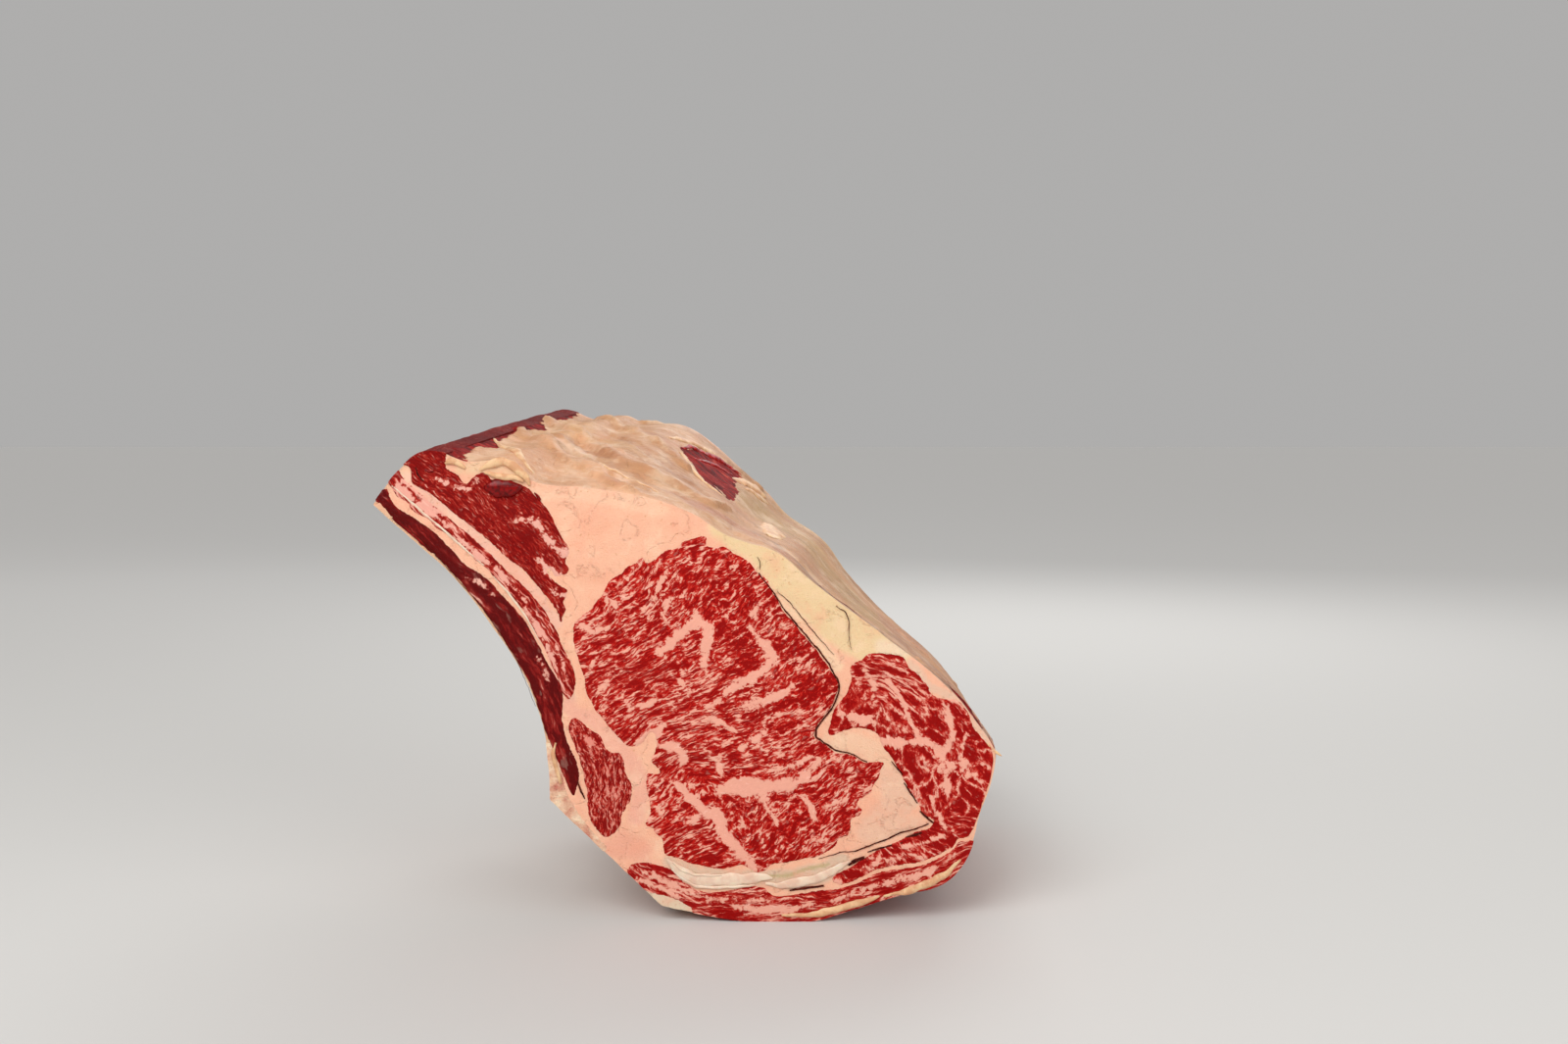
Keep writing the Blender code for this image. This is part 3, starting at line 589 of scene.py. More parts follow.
class Shader:
    """Short calls that add nodes to one material."""

    def __init__(self, name):
        self.material = bpy.data.materials.new(name)
        self.material.use_nodes = True
        self.tree = self.material.node_tree
        self.bsdf = self.tree.nodes["Principled BSDF"]

    def node(self, kind, settings=None, **inputs):
        made = self.tree.nodes.new(kind)
        for key, value in (settings or {}).items():
            setattr(made, key, value)
        for key, value in inputs.items():
            self.feed(made.inputs[key.replace("_", " ")], value)
        return made

    def feed(self, socket, value):
        if isinstance(value, bpy.types.NodeSocket):
            self.tree.links.new(value, socket)
        elif value is not None:
            socket.default_value = (*value, 1) if isinstance(value, tuple) and len(value) == 3 and socket.type == "RGBA" else value

    def attribute(self, name, output="Fac"):
        return self.node("ShaderNodeAttribute", {"attribute_name": name}).outputs[output]

    def math(self, operation, first, second=None, third=None, clamp=False):
        made = self.node("ShaderNodeMath", {"operation": operation, "use_clamp": clamp})
        for socket, value in zip(made.inputs, (first, second, third)):
            self.feed(socket, value)
        return made.outputs[0]

    def vector(self, operation, first, second):
        made = self.node("ShaderNodeVectorMath", {"operation": operation})
        self.feed(made.inputs[0], first)
        self.feed(made.inputs[1], second)
        return made.outputs[0]

    def noise(self, place, scale, detail=2.0, rough=0.5, colour=False, distort=0.0):
        made = self.node(
            "ShaderNodeTexNoise", Vector=place, Scale=scale, Detail=detail, Roughness=rough, Distortion=distort
        )
        return made.outputs["Color" if colour else "Fac"]

    def cells(self, place, scale, feature="F1", smooth=None):
        made = self.node("ShaderNodeTexVoronoi", {"feature": feature}, Vector=place, Scale=scale)
        return made.outputs["Distance"]

    def warped(self, place, scale, reach, detail=2.0):
        """The place moved by up to about half the reach, by noise."""
        cloud = self.vector("SUBTRACT", self.noise(place, scale, detail, colour=True), (0.5, 0.5, 0.5))
        return self.vector("ADD", place, self.vector("MULTIPLY", cloud, (reach, reach, reach)))

    def stretch(self, place, factors, shift=(0.0, 0.0, 0.0)):
        return self.vector("ADD", self.vector("MULTIPLY", place, factors), shift)

    def step(self, value, low, high, to_low=0.0, to_high=1.0):
        made = self.node("ShaderNodeMapRange", {"interpolation_type": "SMOOTHSTEP", "clamp": True})
        for key, number in zip(("Value", "From Min", "From Max", "To Min", "To Max"), (value, low, high, to_low, to_high)):
            self.feed(made.inputs[key], number)
        return made.outputs[0]

    def ramp(self, value, stops):
        made = self.node("ShaderNodeValToRGB", Fac=value)
        elements = made.color_ramp.elements
        while len(elements) < len(stops):
            elements.new(0.5)
        for element, (place, colour) in zip(elements, stops):
            element.position = place
            element.color = (*colour, 1)
        return made.outputs["Color"]

    def mix(self, share, first, second, blend="MIX"):
        made = self.node("ShaderNodeMix", {"data_type": "RGBA", "blend_type": blend})
        self.feed(made.inputs[0], share)
        self.feed(made.inputs[6], first)
        self.feed(made.inputs[7], second)
        return made.outputs[2]

    def relief(self, height, distance, strength=1.0, under=None):
        made = self.node("ShaderNodeBump", Height=height, Distance=distance, Strength=strength)
        if under is not None:
            self.feed(made.inputs["Normal"], under)
        return made.outputs["Normal"]

    def finish(self, colour, rough, normal, soft=0.0, reach=(1.0, 0.35, 0.2), coat=0.0, specular=0.5):
        bsdf = self.bsdf.inputs
        self.feed(bsdf["Base Color"], colour)
        self.feed(bsdf["Roughness"], rough)
        self.feed(bsdf["Normal"], normal)
        bsdf["Specular IOR Level"].default_value = specular
        bsdf["IOR"].default_value = 1.4
        bsdf["Subsurface Weight"].default_value = soft
        bsdf["Subsurface Radius"].default_value = reach
        bsdf["Subsurface Scale"].default_value = 0.0025
        if coat:
            bsdf["Coat Weight"].default_value = coat
            bsdf["Coat Roughness"].default_value = 0.12
        return self.material


def lean_material(
    name, deep, red, warm, pink, fat, along=0.15, across=0.5, through=0.3, share=0.0, gain=3.2, network=1.0,
    patchy=0.5, wander=3.0, rough=0.38, fibre=0.3, islands=0.0, shade=0.28, ragged_by=1.0,
    pepper=0.62,
):
    """Marbled lean: fat flecks drawn out along the grain, a fine network, and the thick veins."""
    s = Shader(name)
    grain = s.attribute("grain", "Vector")
    place = s.warped(s.warped(grain, 0.07, wander * 2), 0.4, wander * 0.45)
    fleck = s.noise(s.stretch(place, (along, across, through)), 1.0, 4.0, 0.62)
    fine = s.noise(s.stretch(place, (along * 2.6, across * 2.4, through * 2.6), (2.0, 19.0, 5.0)), 1.0, 2.0, 0.5)
    web = s.noise(s.stretch(place, (along * 1.5, across * 1.25, through * 1.4), (31.0, 7.0, 3.0)), 1.0, 2.5, 0.5)
    contour = s.math("SUBTRACT", 1.0, s.math("MULTIPLY", s.math("ABSOLUTE", s.math("SUBTRACT", web, 0.5)), 11.0))
    contour = s.math("MAXIMUM", contour, 0.0)
    patch = s.noise(grain, 0.055, 2.0)
    ragged = s.noise(place, 0.62, 4.0, 0.66)
    strand = s.noise(s.stretch(place, (along * 0.8, across * 0.62, through), (11.0, 3.0, 17.0)), 1.0, 3.0, 0.6)
    strand = s.math("SUBTRACT", 1.0, s.math("MULTIPLY", s.math("ABSOLUTE", s.math("SUBTRACT", strand, 0.5)), 15.0))
    strand = s.math("MAXIMUM", strand, 0.0)
    swerve = s.noise(grain, 0.22, 2.0)
    marble = s.math("MULTIPLY_ADD", s.math("SUBTRACT", fleck, 0.5), gain, share)
    marble = s.math("MULTIPLY_ADD", s.math("SUBTRACT", fine, 0.5), gain * pepper, marble)
    marble = s.math("MULTIPLY_ADD", contour, 0.40 * network, marble)
    marble = s.math("MULTIPLY_ADD", strand, 0.42 * network, marble)
    marble = s.math("MULTIPLY_ADD", s.math("SUBTRACT", patch, 0.5), patchy * 1.6, marble)
    if islands:
        gap = s.cells(s.stretch(place, (islands * 0.55, islands, islands * 0.5), (3.0, 5.0, 7.0)), 1.0, "DISTANCE_TO_EDGE")
        channel = s.math("MULTIPLY_ADD", gap, -4.4, 0.16)
        channel = s.math("MULTIPLY_ADD", s.math("SUBTRACT", ragged, 0.5), 2.8, channel)
        channel = s.math("MULTIPLY_ADD", s.math("SUBTRACT", patch, 0.5), 1.6, channel)
        marble = s.math("MAXIMUM", marble, channel)
    vein = s.math("MULTIPLY_ADD", s.math("SUBTRACT", ragged, 0.5), 5.6 * ragged_by, s.attribute("vein"))
    vein = s.math("MULTIPLY_ADD", s.math("SUBTRACT", swerve, 0.5), 6.0 * ragged_by, vein)
    amount = s.math("MAXIMUM", marble, s.math("MULTIPLY_ADD", vein, 0.6, 0.10))
    rim = s.math("MULTIPLY_ADD", s.math("SUBTRACT", ragged, 0.5), 1.3 * ragged_by, s.attribute("edge"))
    amount = s.math("MAXIMUM", amount, s.step(rim, 0.0, 0.40, 0.5, -1.0))
    level = s.step(amount, -0.60, 0.50)
    hairs = s.noise(s.stretch(place, (0.5, 3.2, 1.2)), 1.0, 2.0, 0.55)
    colour = s.ramp(level, [(0.0, deep), (0.20, red), (0.44, warm), (0.68, pink), (0.90, fat)])
    spark = s.noise(s.stretch(place, (along * 2.2, across * 1.3, through * 1.6), (4.0, 23.0, 9.0)), 1.0, 2.0, 0.5)
    spark = s.math("MULTIPLY", s.step(spark, 0.62, 0.70, 0.0, 0.7), s.step(level, 0.25, 0.8, 0.25, 1.0))
    colour = s.mix(spark, colour, srgb(246, 190, 170))
    tone = s.noise(s.stretch(grain, (0.04, 0.06, 0.04), (9.0, 4.0, 1.0)), 1.0, 3.0, 0.6)
    shaded = s.mix(s.step(tone, 0.42, 0.66, 0.0, shade), colour, deep)
    colour = s.mix(s.step(level, 0.45, 0.75), shaded, colour)
    hair_share = s.math("MULTIPLY", s.step(hairs, 0.30, 0.70, fibre, 0.0), s.step(level, 0.6, 0.9, 1.0, 0.25))
    colour = s.mix(hair_share, colour, deep)
    dry = s.math("MULTIPLY", s.attribute("dry"), s.step(tone, 0.30, 0.62, 0.95, 0.62))
    colour = s.mix(dry, colour, srgb(88, 8, 7))
    height = s.math("MULTIPLY_ADD", hairs, 0.45, level)
    grit = s.noise(place, 2.6, 3.0, 0.6)
    normal = s.relief(s.math("MULTIPLY_ADD", grit, 0.7, height), 0.00028, 1.0)
    gloss = s.math("MULTIPLY_ADD", level, 0.08, rough)
    gloss = s.math("MULTIPLY_ADD", s.math("SUBTRACT", grit, 0.5), 0.30, gloss)
    gloss = s.math("MULTIPLY_ADD", s.attribute("dry"), 0.25, gloss)
    return s.finish(colour, gloss, normal, soft=0.06, reach=(1.0, 0.25, 0.15), specular=0.12)


def fat_material():
    """Fat on the cuts, the membrane over the outer and inner sides, and lean that shows through tears."""
    s = Shader("beef_fat")
    place = s.node("ShaderNodeTexCoord").outputs["Object"]
    place = s.vector("MULTIPLY", place, (1000.0, 1000.0, 1000.0))
    tint = s.attribute("tint", "Color")
    cover = s.attribute("cover")
    dark = s.attribute("film_dark", "Color")
    cloud = s.noise(s.warped(place, 0.08, 6.0), 0.09, 4.0, 0.6)
    colour = s.mix(s.step(cloud, 0.46, 0.70, 0.0, 0.40), tint, srgb(240, 164, 134))
    colour = s.mix(s.step(cloud, 0.30, 0.46, 0.35, 0.0), colour, srgb(250, 214, 182))
    fleck = s.noise(s.warped(place, 0.5, 2.0), 0.55, 2.0, 0.5)
    colour = s.mix(s.step(fleck, 0.66, 0.74, 0.0, 0.55), colour, srgb(206, 138, 92))
    grains = s.noise(place, 0.9, 3.0, 0.6)
    colour = s.mix(s.step(grains, 0.52, 0.80, 0.0, 0.25), colour, srgb(214, 132, 104))
    # Fine creases that wander over the fat, sunk by the bump and a little darker along them as painted shade.
    crease = s.noise(s.warped(place, 0.06, 14.0), 0.07, 1.5, 0.4)
    crease = s.math("MULTIPLY", s.math("ABSOLUTE", s.math("SUBTRACT", crease, 0.5)), 40.0)
    crease = s.math("MULTIPLY", s.step(crease, 0.0, 1.0, 1.0, 0.0), s.step(grains, 0.45, 0.6))
    # Painted shade along the creases.
    colour = s.mix(s.math("MULTIPLY", crease, 0.10), colour, srgb(212, 140, 108))
    streak = s.attribute("streak", "Vector")
    run = s.warped(s.warped(streak, 0.03, 26.0), 0.14, 5.0)
    bands = s.noise(s.stretch(run, (0.022, 0.070, 0.05)), 1.0, 5.0, 0.62)
    fine = s.noise(s.stretch(run, (0.07, 0.42, 0.2), (5.0, 2.0, 0.0)), 1.0, 4.0, 0.62)
    where = s.step(s.noise(s.stretch(streak, (0.02, 0.03, 0.02), (3.0, 1.0, 8.0)), 1.0, 3.0), 0.40, 0.58, 0.30, 1.0)
    # The membrane's own streaks, darker in the sunk bands and fine streaks as painted shade, and paler on the raised
    # fine streaks as painted sheen.
    film = s.mix(s.math("MULTIPLY", s.step(bands, 0.36, 0.62, 0.46, 0.0), where), tint, dark)
    film = s.mix(s.math("MULTIPLY", s.step(fine, 0.55, 0.75, 0.0, 0.55), where), film, srgb(240, 210, 182))
    film = s.mix(s.math("MULTIPLY", s.step(fine, 0.26, 0.44, 0.34, 0.0), where), film, dark)
    film = s.mix(s.step(fleck, 0.60, 0.72, 0.0, 0.35), film, dark)
    film = s.mix(s.step(grains, 0.50, 0.72, 0.0, 0.18), film, dark)
    lobules = s.cells(s.warped(s.warped(s.stretch(place, (0.8, 0.6, 0.8)), 0.11, 9.0), 0.35, 4.0), 0.16)
    film = s.mix(s.step(lobules, 0.35, 0.80, 0.0, 0.26), film, srgb(200, 144, 112))
    pale = s.noise(s.warped(place, 0.10, 8.0), 0.06, 4.0, 0.62)
    film = s.mix(s.step(pale, 0.48, 0.68, 0.0, 0.40), film, srgb(246, 216, 184))
    film = s.mix(s.step(pale, 0.30, 0.42, 0.30, 0.0), film, srgb(206, 140, 116))
    colour = s.mix(cover, colour, film)
    meat_noise = s.noise(s.stretch(run, (0.09, 0.40, 0.3)), 1.0, 4.0, 0.6)
    meat = s.ramp(meat_noise, [
        (0.32, srgb(62, 2, 2)), (0.45, srgb(112, 5, 4)), (0.60, srgb(158, 16, 11)), (0.74, srgb(200, 84, 64))])
    torn = s.math("MULTIPLY_ADD", s.math("SUBTRACT", s.noise(place, 0.35, 3.0, 0.6), 0.5), 0.55, s.attribute("lean"))
    bare = s.step(torn, 0.42, 0.54)
    colour = s.mix(bare, colour, meat)
    grit = s.noise(place, 1.4, 4.0, 0.62)
    height = s.math("MULTIPLY_ADD", s.math("MULTIPLY", cover, fine), 1.6, grit)
    height = s.math("MULTIPLY_ADD", s.math("MULTIPLY", cover, bands), 1.8, height)
    height = s.math("MULTIPLY_ADD", crease, -0.7, height)
    height = s.math("MULTIPLY_ADD", s.math("MULTIPLY", cover, lobules), -1.3, height)
    normal = s.relief(height, 0.00045, 0.9)
    rough = s.step(cover, 0.0, 1.0, 0.50, 0.40)
    rough = s.math("MULTIPLY_ADD", s.math("SUBTRACT", grit, 0.5), 0.25, rough)
    rough = s.math("MULTIPLY_ADD", bare, 0.3, rough)
    return s.finish(colour, rough, normal, soft=0.12, reach=(1.0, 0.45, 0.28), specular=0.16)


def bone_material():
    """Sawn bone: an ivory shell, and red spongy marrow where the core attribute is high."""
    s = Shader("sawn_bone")
    place = s.node("ShaderNodeTexCoord").outputs["Object"]
    place = s.warped(s.vector("MULTIPLY", place, (1000.0, 1000.0, 1000.0)), 0.3, 1.5)
    pores = s.cells(place, 1.1)
    cloud = s.noise(place, 0.16, 4.0, 0.6)
    shell = s.ramp(cloud, [(0.34, srgb(236, 206, 174)), (0.50, srgb(222, 176, 146)), (0.68, srgb(196, 122, 100))])
    scratches = s.noise(s.stretch(place, (0.25, 2.6, 0.6)), 1.0, 3.0, 0.6)
    shell = s.mix(s.step(scratches, 0.55, 0.75, 0.0, 0.35), shell, srgb(246, 226, 204))
    shell = s.mix(s.step(pores, 0.06, 0.26, 0.45, 0.0), shell, srgb(150, 74, 60))
    marrow = s.ramp(pores, [(0.05, srgb(74, 14, 14)), (0.28, srgb(132, 38, 34)), (0.60, srgb(190, 104, 88))])
    core = s.math("MULTIPLY_ADD", s.math("SUBTRACT", cloud, 0.5), 0.8, s.attribute("core"))
    colour = s.mix(s.step(core, 0.32, 0.50), shell, marrow)
    normal = s.relief(s.math("MULTIPLY_ADD", pores, 0.8, scratches), 0.0004, 0.8)
    return s.finish(colour, s.step(cloud, 0.3, 0.7, 0.55, 0.38), normal, soft=0.10)


def plain_material(name, colour, second, rough, coat=0.0, soft=0.0, scale=0.5, specular=0.3):
    """Two close colours clouded together, with a fine grain."""
    s = Shader(name)
    place = s.node("ShaderNodeTexCoord").outputs["Object"]
    place = s.vector("MULTIPLY", place, (1000.0, 1000.0, 1000.0))
    cloud = s.noise(s.warped(place, 0.3, 2.0), scale, 3.0, 0.6)
    mixed = s.mix(s.step(cloud, 0.35, 0.65), colour, second)
    grit = s.noise(place, 2.2, 3.0, 0.6)
    normal = s.relief(grit, 0.0002, 0.6)
    gloss = s.step(grit, 0.2, 0.8, max(rough - 0.06, 0.03), rough + 0.06)
    return s.finish(mixed, gloss, normal, soft=soft, coat=coat, specular=specular)


# Relief, as one Geometry Nodes tree for every piece.


def relief_tree():
    """Moves each point out by its lift and by two sizes of noise, then gives the piece its material."""
    tree = bpy.data.node_groups.new("roast_relief", "GeometryNodeTree")
    tree.is_modifier = True
    face = tree.interface
    face.new_socket("Geometry", in_out="INPUT", socket_type="NodeSocketGeometry")
    for title in ("Broad height", "Broad scale", "Fine height", "Fine scale"):
        face.new_socket(title, in_out="INPUT", socket_type="NodeSocketFloat")
    face.new_socket("Material", in_out="INPUT", socket_type="NodeSocketMaterial")
    face.new_socket("Geometry", in_out="OUTPUT", socket_type="NodeSocketGeometry")
    nodes, links = tree.nodes, tree.links
    entry, leave = nodes.new("NodeGroupInput"), nodes.new("NodeGroupOutput")

    def named(title):
        made = nodes.new("GeometryNodeInputNamedAttribute")
        made.data_type = "FLOAT"
        made.inputs["Name"].default_value = title
        return made.outputs["Attribute"]

    def maths(operation, first, second):
        made = nodes.new("ShaderNodeMath")
        made.operation = operation
        for socket, value in zip(made.inputs, (first, second)):
            if isinstance(value, bpy.types.NodeSocket):
                links.new(value, socket)
            else:
                socket.default_value = value
        return made.outputs[0]

    place = nodes.new("GeometryNodeInputPosition").outputs[0]
    total = None
    for size in ("Broad", "Fine"):
        cloud = nodes.new("ShaderNodeTexNoise")
        cloud.inputs["Detail"].default_value = 3.0
        links.new(place, cloud.inputs["Vector"])
        links.new(entry.outputs[size + " scale"], cloud.inputs["Scale"])
        centred = maths("MULTIPLY", maths("SUBTRACT", cloud.outputs["Fac"], 0.5), 2.0)
        part = maths("MULTIPLY", centred, entry.outputs[size + " height"])
        total = part if total is None else maths("ADD", total, part)
    total = maths("ADD", maths("MULTIPLY", total, named("free")), named("lift"))
    scale = nodes.new("ShaderNodeVectorMath")
    scale.operation = "SCALE"
    links.new(nodes.new("GeometryNodeInputNormal").outputs[0], scale.inputs[0])
    links.new(total, scale.inputs["Scale"])
    move = nodes.new("GeometryNodeSetPosition")
    links.new(entry.outputs["Geometry"], move.inputs["Geometry"])
    links.new(scale.outputs[0], move.inputs["Offset"])
    real = nodes.new("GeometryNodeRealizeInstances")
    links.new(move.outputs[0], real.inputs[0])
    paint = nodes.new("GeometryNodeSetMaterial")
    links.new(real.outputs[0], paint.inputs["Geometry"])
    links.new(entry.outputs["Material"], paint.inputs["Material"])
    links.new(paint.outputs[0], leave.inputs[0])
    return tree


def finished_piece(name, mesh, material, heights, replaced=(), sharp=42):
    """Runs the relief tree on the mesh, makes the result a plain piece and lets it ride on the roast."""
    tree = bpy.data.node_groups.get("roast_relief") or relief_tree()
    rough = bpy.data.objects.new(name + "_plain", mesh)
    bpy.context.scene.collection.objects.link(rough)
    mesh.materials.append(material)
    step = rough.modifiers.new("relief", "NODES")
    step.node_group = tree
    sockets = {item.name: item.identifier for item in tree.interface.items_tree if item.in_out == "INPUT"}
    for title, value in zip(("Broad height", "Broad scale", "Fine height", "Fine scale"), heights):
        step[sockets[title]] = float(value)
    step[sockets["Material"]] = material
    bpy.context.view_layer.update()
    graph = bpy.context.evaluated_depsgraph_get()
    made = bpy.data.meshes.new_from_object(rough.evaluated_get(graph))
    bpy.data.objects.remove(rough)
    low = np.empty(len(made.vertices) * 3, np.float32)
    made.vertices.foreach_get("co", low)
    low = low.reshape(-1, 3)
    low[:, 2] = np.maximum(low[:, 2], 0)
    made.vertices.foreach_set("co", low.ravel())
    made.set_sharp_from_angle(angle=math.radians(sharp))
    made.update()
    piece = bpy.data.objects.new(name, made)
    bpy.context.scene.collection.objects.link(piece)
    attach(piece, BODY)
    if replaced:
        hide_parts(*replaced)
    return piece


# The fat's colours on the cut: (path of (x, z, width), softness, colour, strength).
PINK_FAT = (244, 186, 155)
FACE_PAINT = [
    ([(14, 172, 6), (30, 163, 8), (45, 150, 14), (62, 134, 18), (78, 123, 14), (92, 118, 4)], 4, (234, 204, 158), 0.95),
    ([(40, 141, 2), (52, 128, 3), (64, 112, 3)], 2, (246, 208, 172), 0.8),
    ([(84, 121, 4), (93, 119, 3)], 3, (240, 214, 184), 0.8),
    ([(86, 68, 4), (92, 52, 14), (80, 42, 10), (98, 44, 3)], 4, (235, 188, 160), 1),
    ([(-9, 27, 3), (3, 19.5, 6), (20, 19, 6), (33, 19, 5), (45, 19, 7), (58, 22, 6), (66, 27, 5)], 2.5, (222, 190, 164), 1),
    ([(0, 20.5, 0.5), (14, 18.5, 0.8), (30, 18.5, 0.8), (44, 21, 0.6), (60, 26, 0.5)], 1, (186, 168, 120), 0.8),
    ([(-127, 193, 2.5), (-109, 178, 2.5), (-83, 154, 2.5), (-64, 132, 2.5), (-52, 99, 3)], 1.6, (226, 172, 152), 0.9),
    ([(-121, 195, 2.5), (-90, 167.5, 3), (-66, 145.5, 3), (-57, 131, 3)], 1.6, (238, 184, 162), 0.9),
    ([(-53, 96, 3), (-50, 92, 3), (-42, 90, 4), (-34, 80, 4), (-24, 70, 5), (-21, 58, 5), (-23, 46, 5)], 2.5, (238, 174, 152), 0.8),
    ([(-30, 36, 4), (-22, 31, 5), (-34, 33, 3)], 5, (236, 168, 144), 0.7),
    ([(-20, 12, 6), (-10, 9, 8), (-2, 6, 5)], 2, (226, 204, 176), 1),
    ([(96, 113.5, 2), (104, 104, 2.5), (114, 99.5, 2.5), (122, 91, 2.5), (130, 79.5, 2)], 1.2, (232, 190, 164), 1),
    ([(62, 79, 6), (72, 78, 7), (80, 76, 6), (88, 70, 2)], 3, (240, 196, 164), 0.9),
    ([(-98, 197, 3), (-90, 199, 3), (-80, 199, 4), (-70, 195, 4)], 2, (232, 196, 158), 0.8),
    ([(-64, 190, 6), (-40, 187, 5), (-12, 181, 4)], 3, (246, 200, 168), 0.7),
]
MEMBRANE = (214, 176, 140)
# The outer side's colours in object space, with painted highlights along the raised ridges and painted shade in the
# sunk grooves: (path of (x, y, z, width)), softness, colour, strength.
OUTER_TAN = (220, 180, 144)
RIDGE_FRONT = [(-90.6, -3, 213.8, 4), (-72.1, -29.4, 209.3, 5), (-56.6, -42.3, 200.5, 5), (-40.3, -66.2, 192.4, 4),
               (-26.1, -78.7, 186.5, 3), (-13.4, -80, 180.3, 2)]
RIDGE_HIGHLIT = [(-78, -8, 212, 1.5), (-72.1, -15.3, 211.5, 2.4), (-59.2, -24.4, 204.7, 3), (-44.2, -52, 197.2, 3),
              (-32.3, -60.6, 192.2, 2.6), (-21.1, -64.5, 188, 1.5)]
RIDGE_MIDDLE = [(-83.1, 36.9, 218.9, 5), (-57.3, -5, 209.1, 6), (-35.3, -33, 200.3, 5), (-16.8, -39.4, 191.5, 5),
                (1.4, -43.1, 181.8, 4), (9.8, -32.6, 177.6, 3)]
RIDGE_BACK = [(-60, 62, 220, 4), (-42.9, 35.2, 213.9, 5), (-20.6, 6.6, 204.3, 5), (-10.3, -3, 195.9, 3)]
RIDGE_LOW = [(-40, 78, 219, 3), (-18, 62, 208, 5), (4, 68, 197, 4), (22, 74, 184, 3)]
OUTER_PAINT = [
    ([(-100, -70, 207, 14), (-86, -60, 205, 16), (-60, -60, 199, 14), (-36, -74, 191, 8)], 12, (228, 186, 152), 0.9),
    ([(-90, 40, 217, 30), (-70, 10, 214, 24), (-46, -10, 206, 14)], 16, (226, 190, 150), 0.8),
    # Darker strokes along the sunk grooves between the ridges: painted shade in the grooves.
    ([(-70, -4, 211.5, 3), (-52, -20, 205, 4), (-38, -42, 197, 4), (-24, -52, 191.5, 4), (-6, -58, 184, 3)], 5, (190, 142, 114), 0.55),
    ([(-50, 22, 211, 3), (-30, -8, 204, 5), (-14, -22, 195.5, 5), (2, -28, 186, 4)], 6, (186, 140, 112), 0.5),
    ([(-26, 24, 208, 3), (-8, 4, 198, 5), (10, -10, 184, 5), (24, -24, 172, 4)], 6, (190, 144, 114), 0.5),
    ([(-6, -62, 183, 6), (10.6, -51, 174, 9), (28.4, -62, 164, 9), (44, -76, 151, 5)], 6, (196, 142, 114), 0.85),
    # Grey-brown along the sunk groove: painted shade in the groove.
    ([(24, -46, 170, 1), (36, -58, 160, 3), (50, -66, 147, 5), (64, -72, 133, 6), (80, -72, 119, 7)], 5, (170, 138, 124), 0.7),
    ([(17.5, 18, 179.7, 20), (37, 30, 166, 34), (51.7, 16.9, 155.2, 34), (65.2, -8, 138.9, 26), (74.6, -40, 130.2, 14)], 16,
     (206, 178, 132), 0.85),
    ([(20, 74, 182, 20), (50, 70, 158, 30), (76, 66, 134, 26)], 16, (196, 160, 122), 0.7),
    ([(60, 40, 150, 4), (72, 20, 138, 6), (80, -10, 130, 5)], 10, (224, 200, 158), 0.7),
    ([(88, -50, 118, 10), (101, -31, 109, 22), (113, -47, 98, 26), (121, -70, 86, 20)], 10, (182, 140, 126), 0.6),
    ([(92, 10, 116, 16), (104, 30, 104, 24), (118, 50, 90, 26), (122, 74, 84, 20)], 12, (190, 142, 124), 0.5),
    ([(96, -60, 112, 2), (108, -66, 101, 3), (118, -62, 91, 3)], 3, (214, 180, 166), 0.7),
    ([(94, 20, 113, 2), (108, 12, 101, 3), (122, 20, 86, 2)], 3, (206, 168, 148), 0.6),
    ([(92, -72, 113, 5), (103, -71, 103, 8), (114, -71, 93, 8), (122, -72, 82, 5)], 4, (146, 106, 98), 0.8),
    ([(96, -62, 111, 1), (106, -60, 102, 3), (116, -60, 92, 3)], 2, (216, 186, 170), 0.8),
    # Lighter strokes along the raised ridges: painted highlights on the ridge tops.
    (RIDGE_FRONT, 3, (242, 204, 172), 0.8),
    (RIDGE_HIGHLIT, 1.6, (248, 220, 198), 0.95),
    (RIDGE_MIDDLE, 3, (238, 198, 166), 0.7),
    (RIDGE_BACK, 3, (234, 200, 162), 0.7),
    (RIDGE_LOW, 3, (232, 198, 158), 0.7),
]
OUTER_RELIEF = [
    (RIDGE_FRONT, 1.9, 2.6), (RIDGE_HIGHLIT, 1.3, 1.6), (RIDGE_MIDDLE, 2.1, 3.0), (RIDGE_BACK, 2.0, 3.0), (RIDGE_LOW, 1.7, 3.2),
    ([(-70, -4, 211.5, 3), (-52, -20, 205, 4), (-38, -42, 197, 4), (-24, -52, 191.5, 4), (-6, -58, 184, 3)], -0.8, 2.0),
    ([(-50, 22, 211, 3), (-30, -8, 204, 5), (-14, -22, 195.5, 5), (2, -28, 186, 4)], -0.9, 2.4),
    ([(-6, -70, 180, 3), (12, -66, 171, 4), (30, -72, 161, 4), (46, -79, 149, 3)], 1.0, 3.0),
    ([(36, -56, 160, 4), (52, -60, 146, 4), (68, -64, 130, 4), (84, -60, 117, 3)], -0.7, 2.4),
    ([(96, -60, 112, 2), (108, -66, 101, 3), (118, -62, 91, 3)], 0.8, 1.6),
    ([(94, 20, 113, 2), (108, 12, 101, 3), (122, 20, 86, 2)], 0.8, 1.8),
]


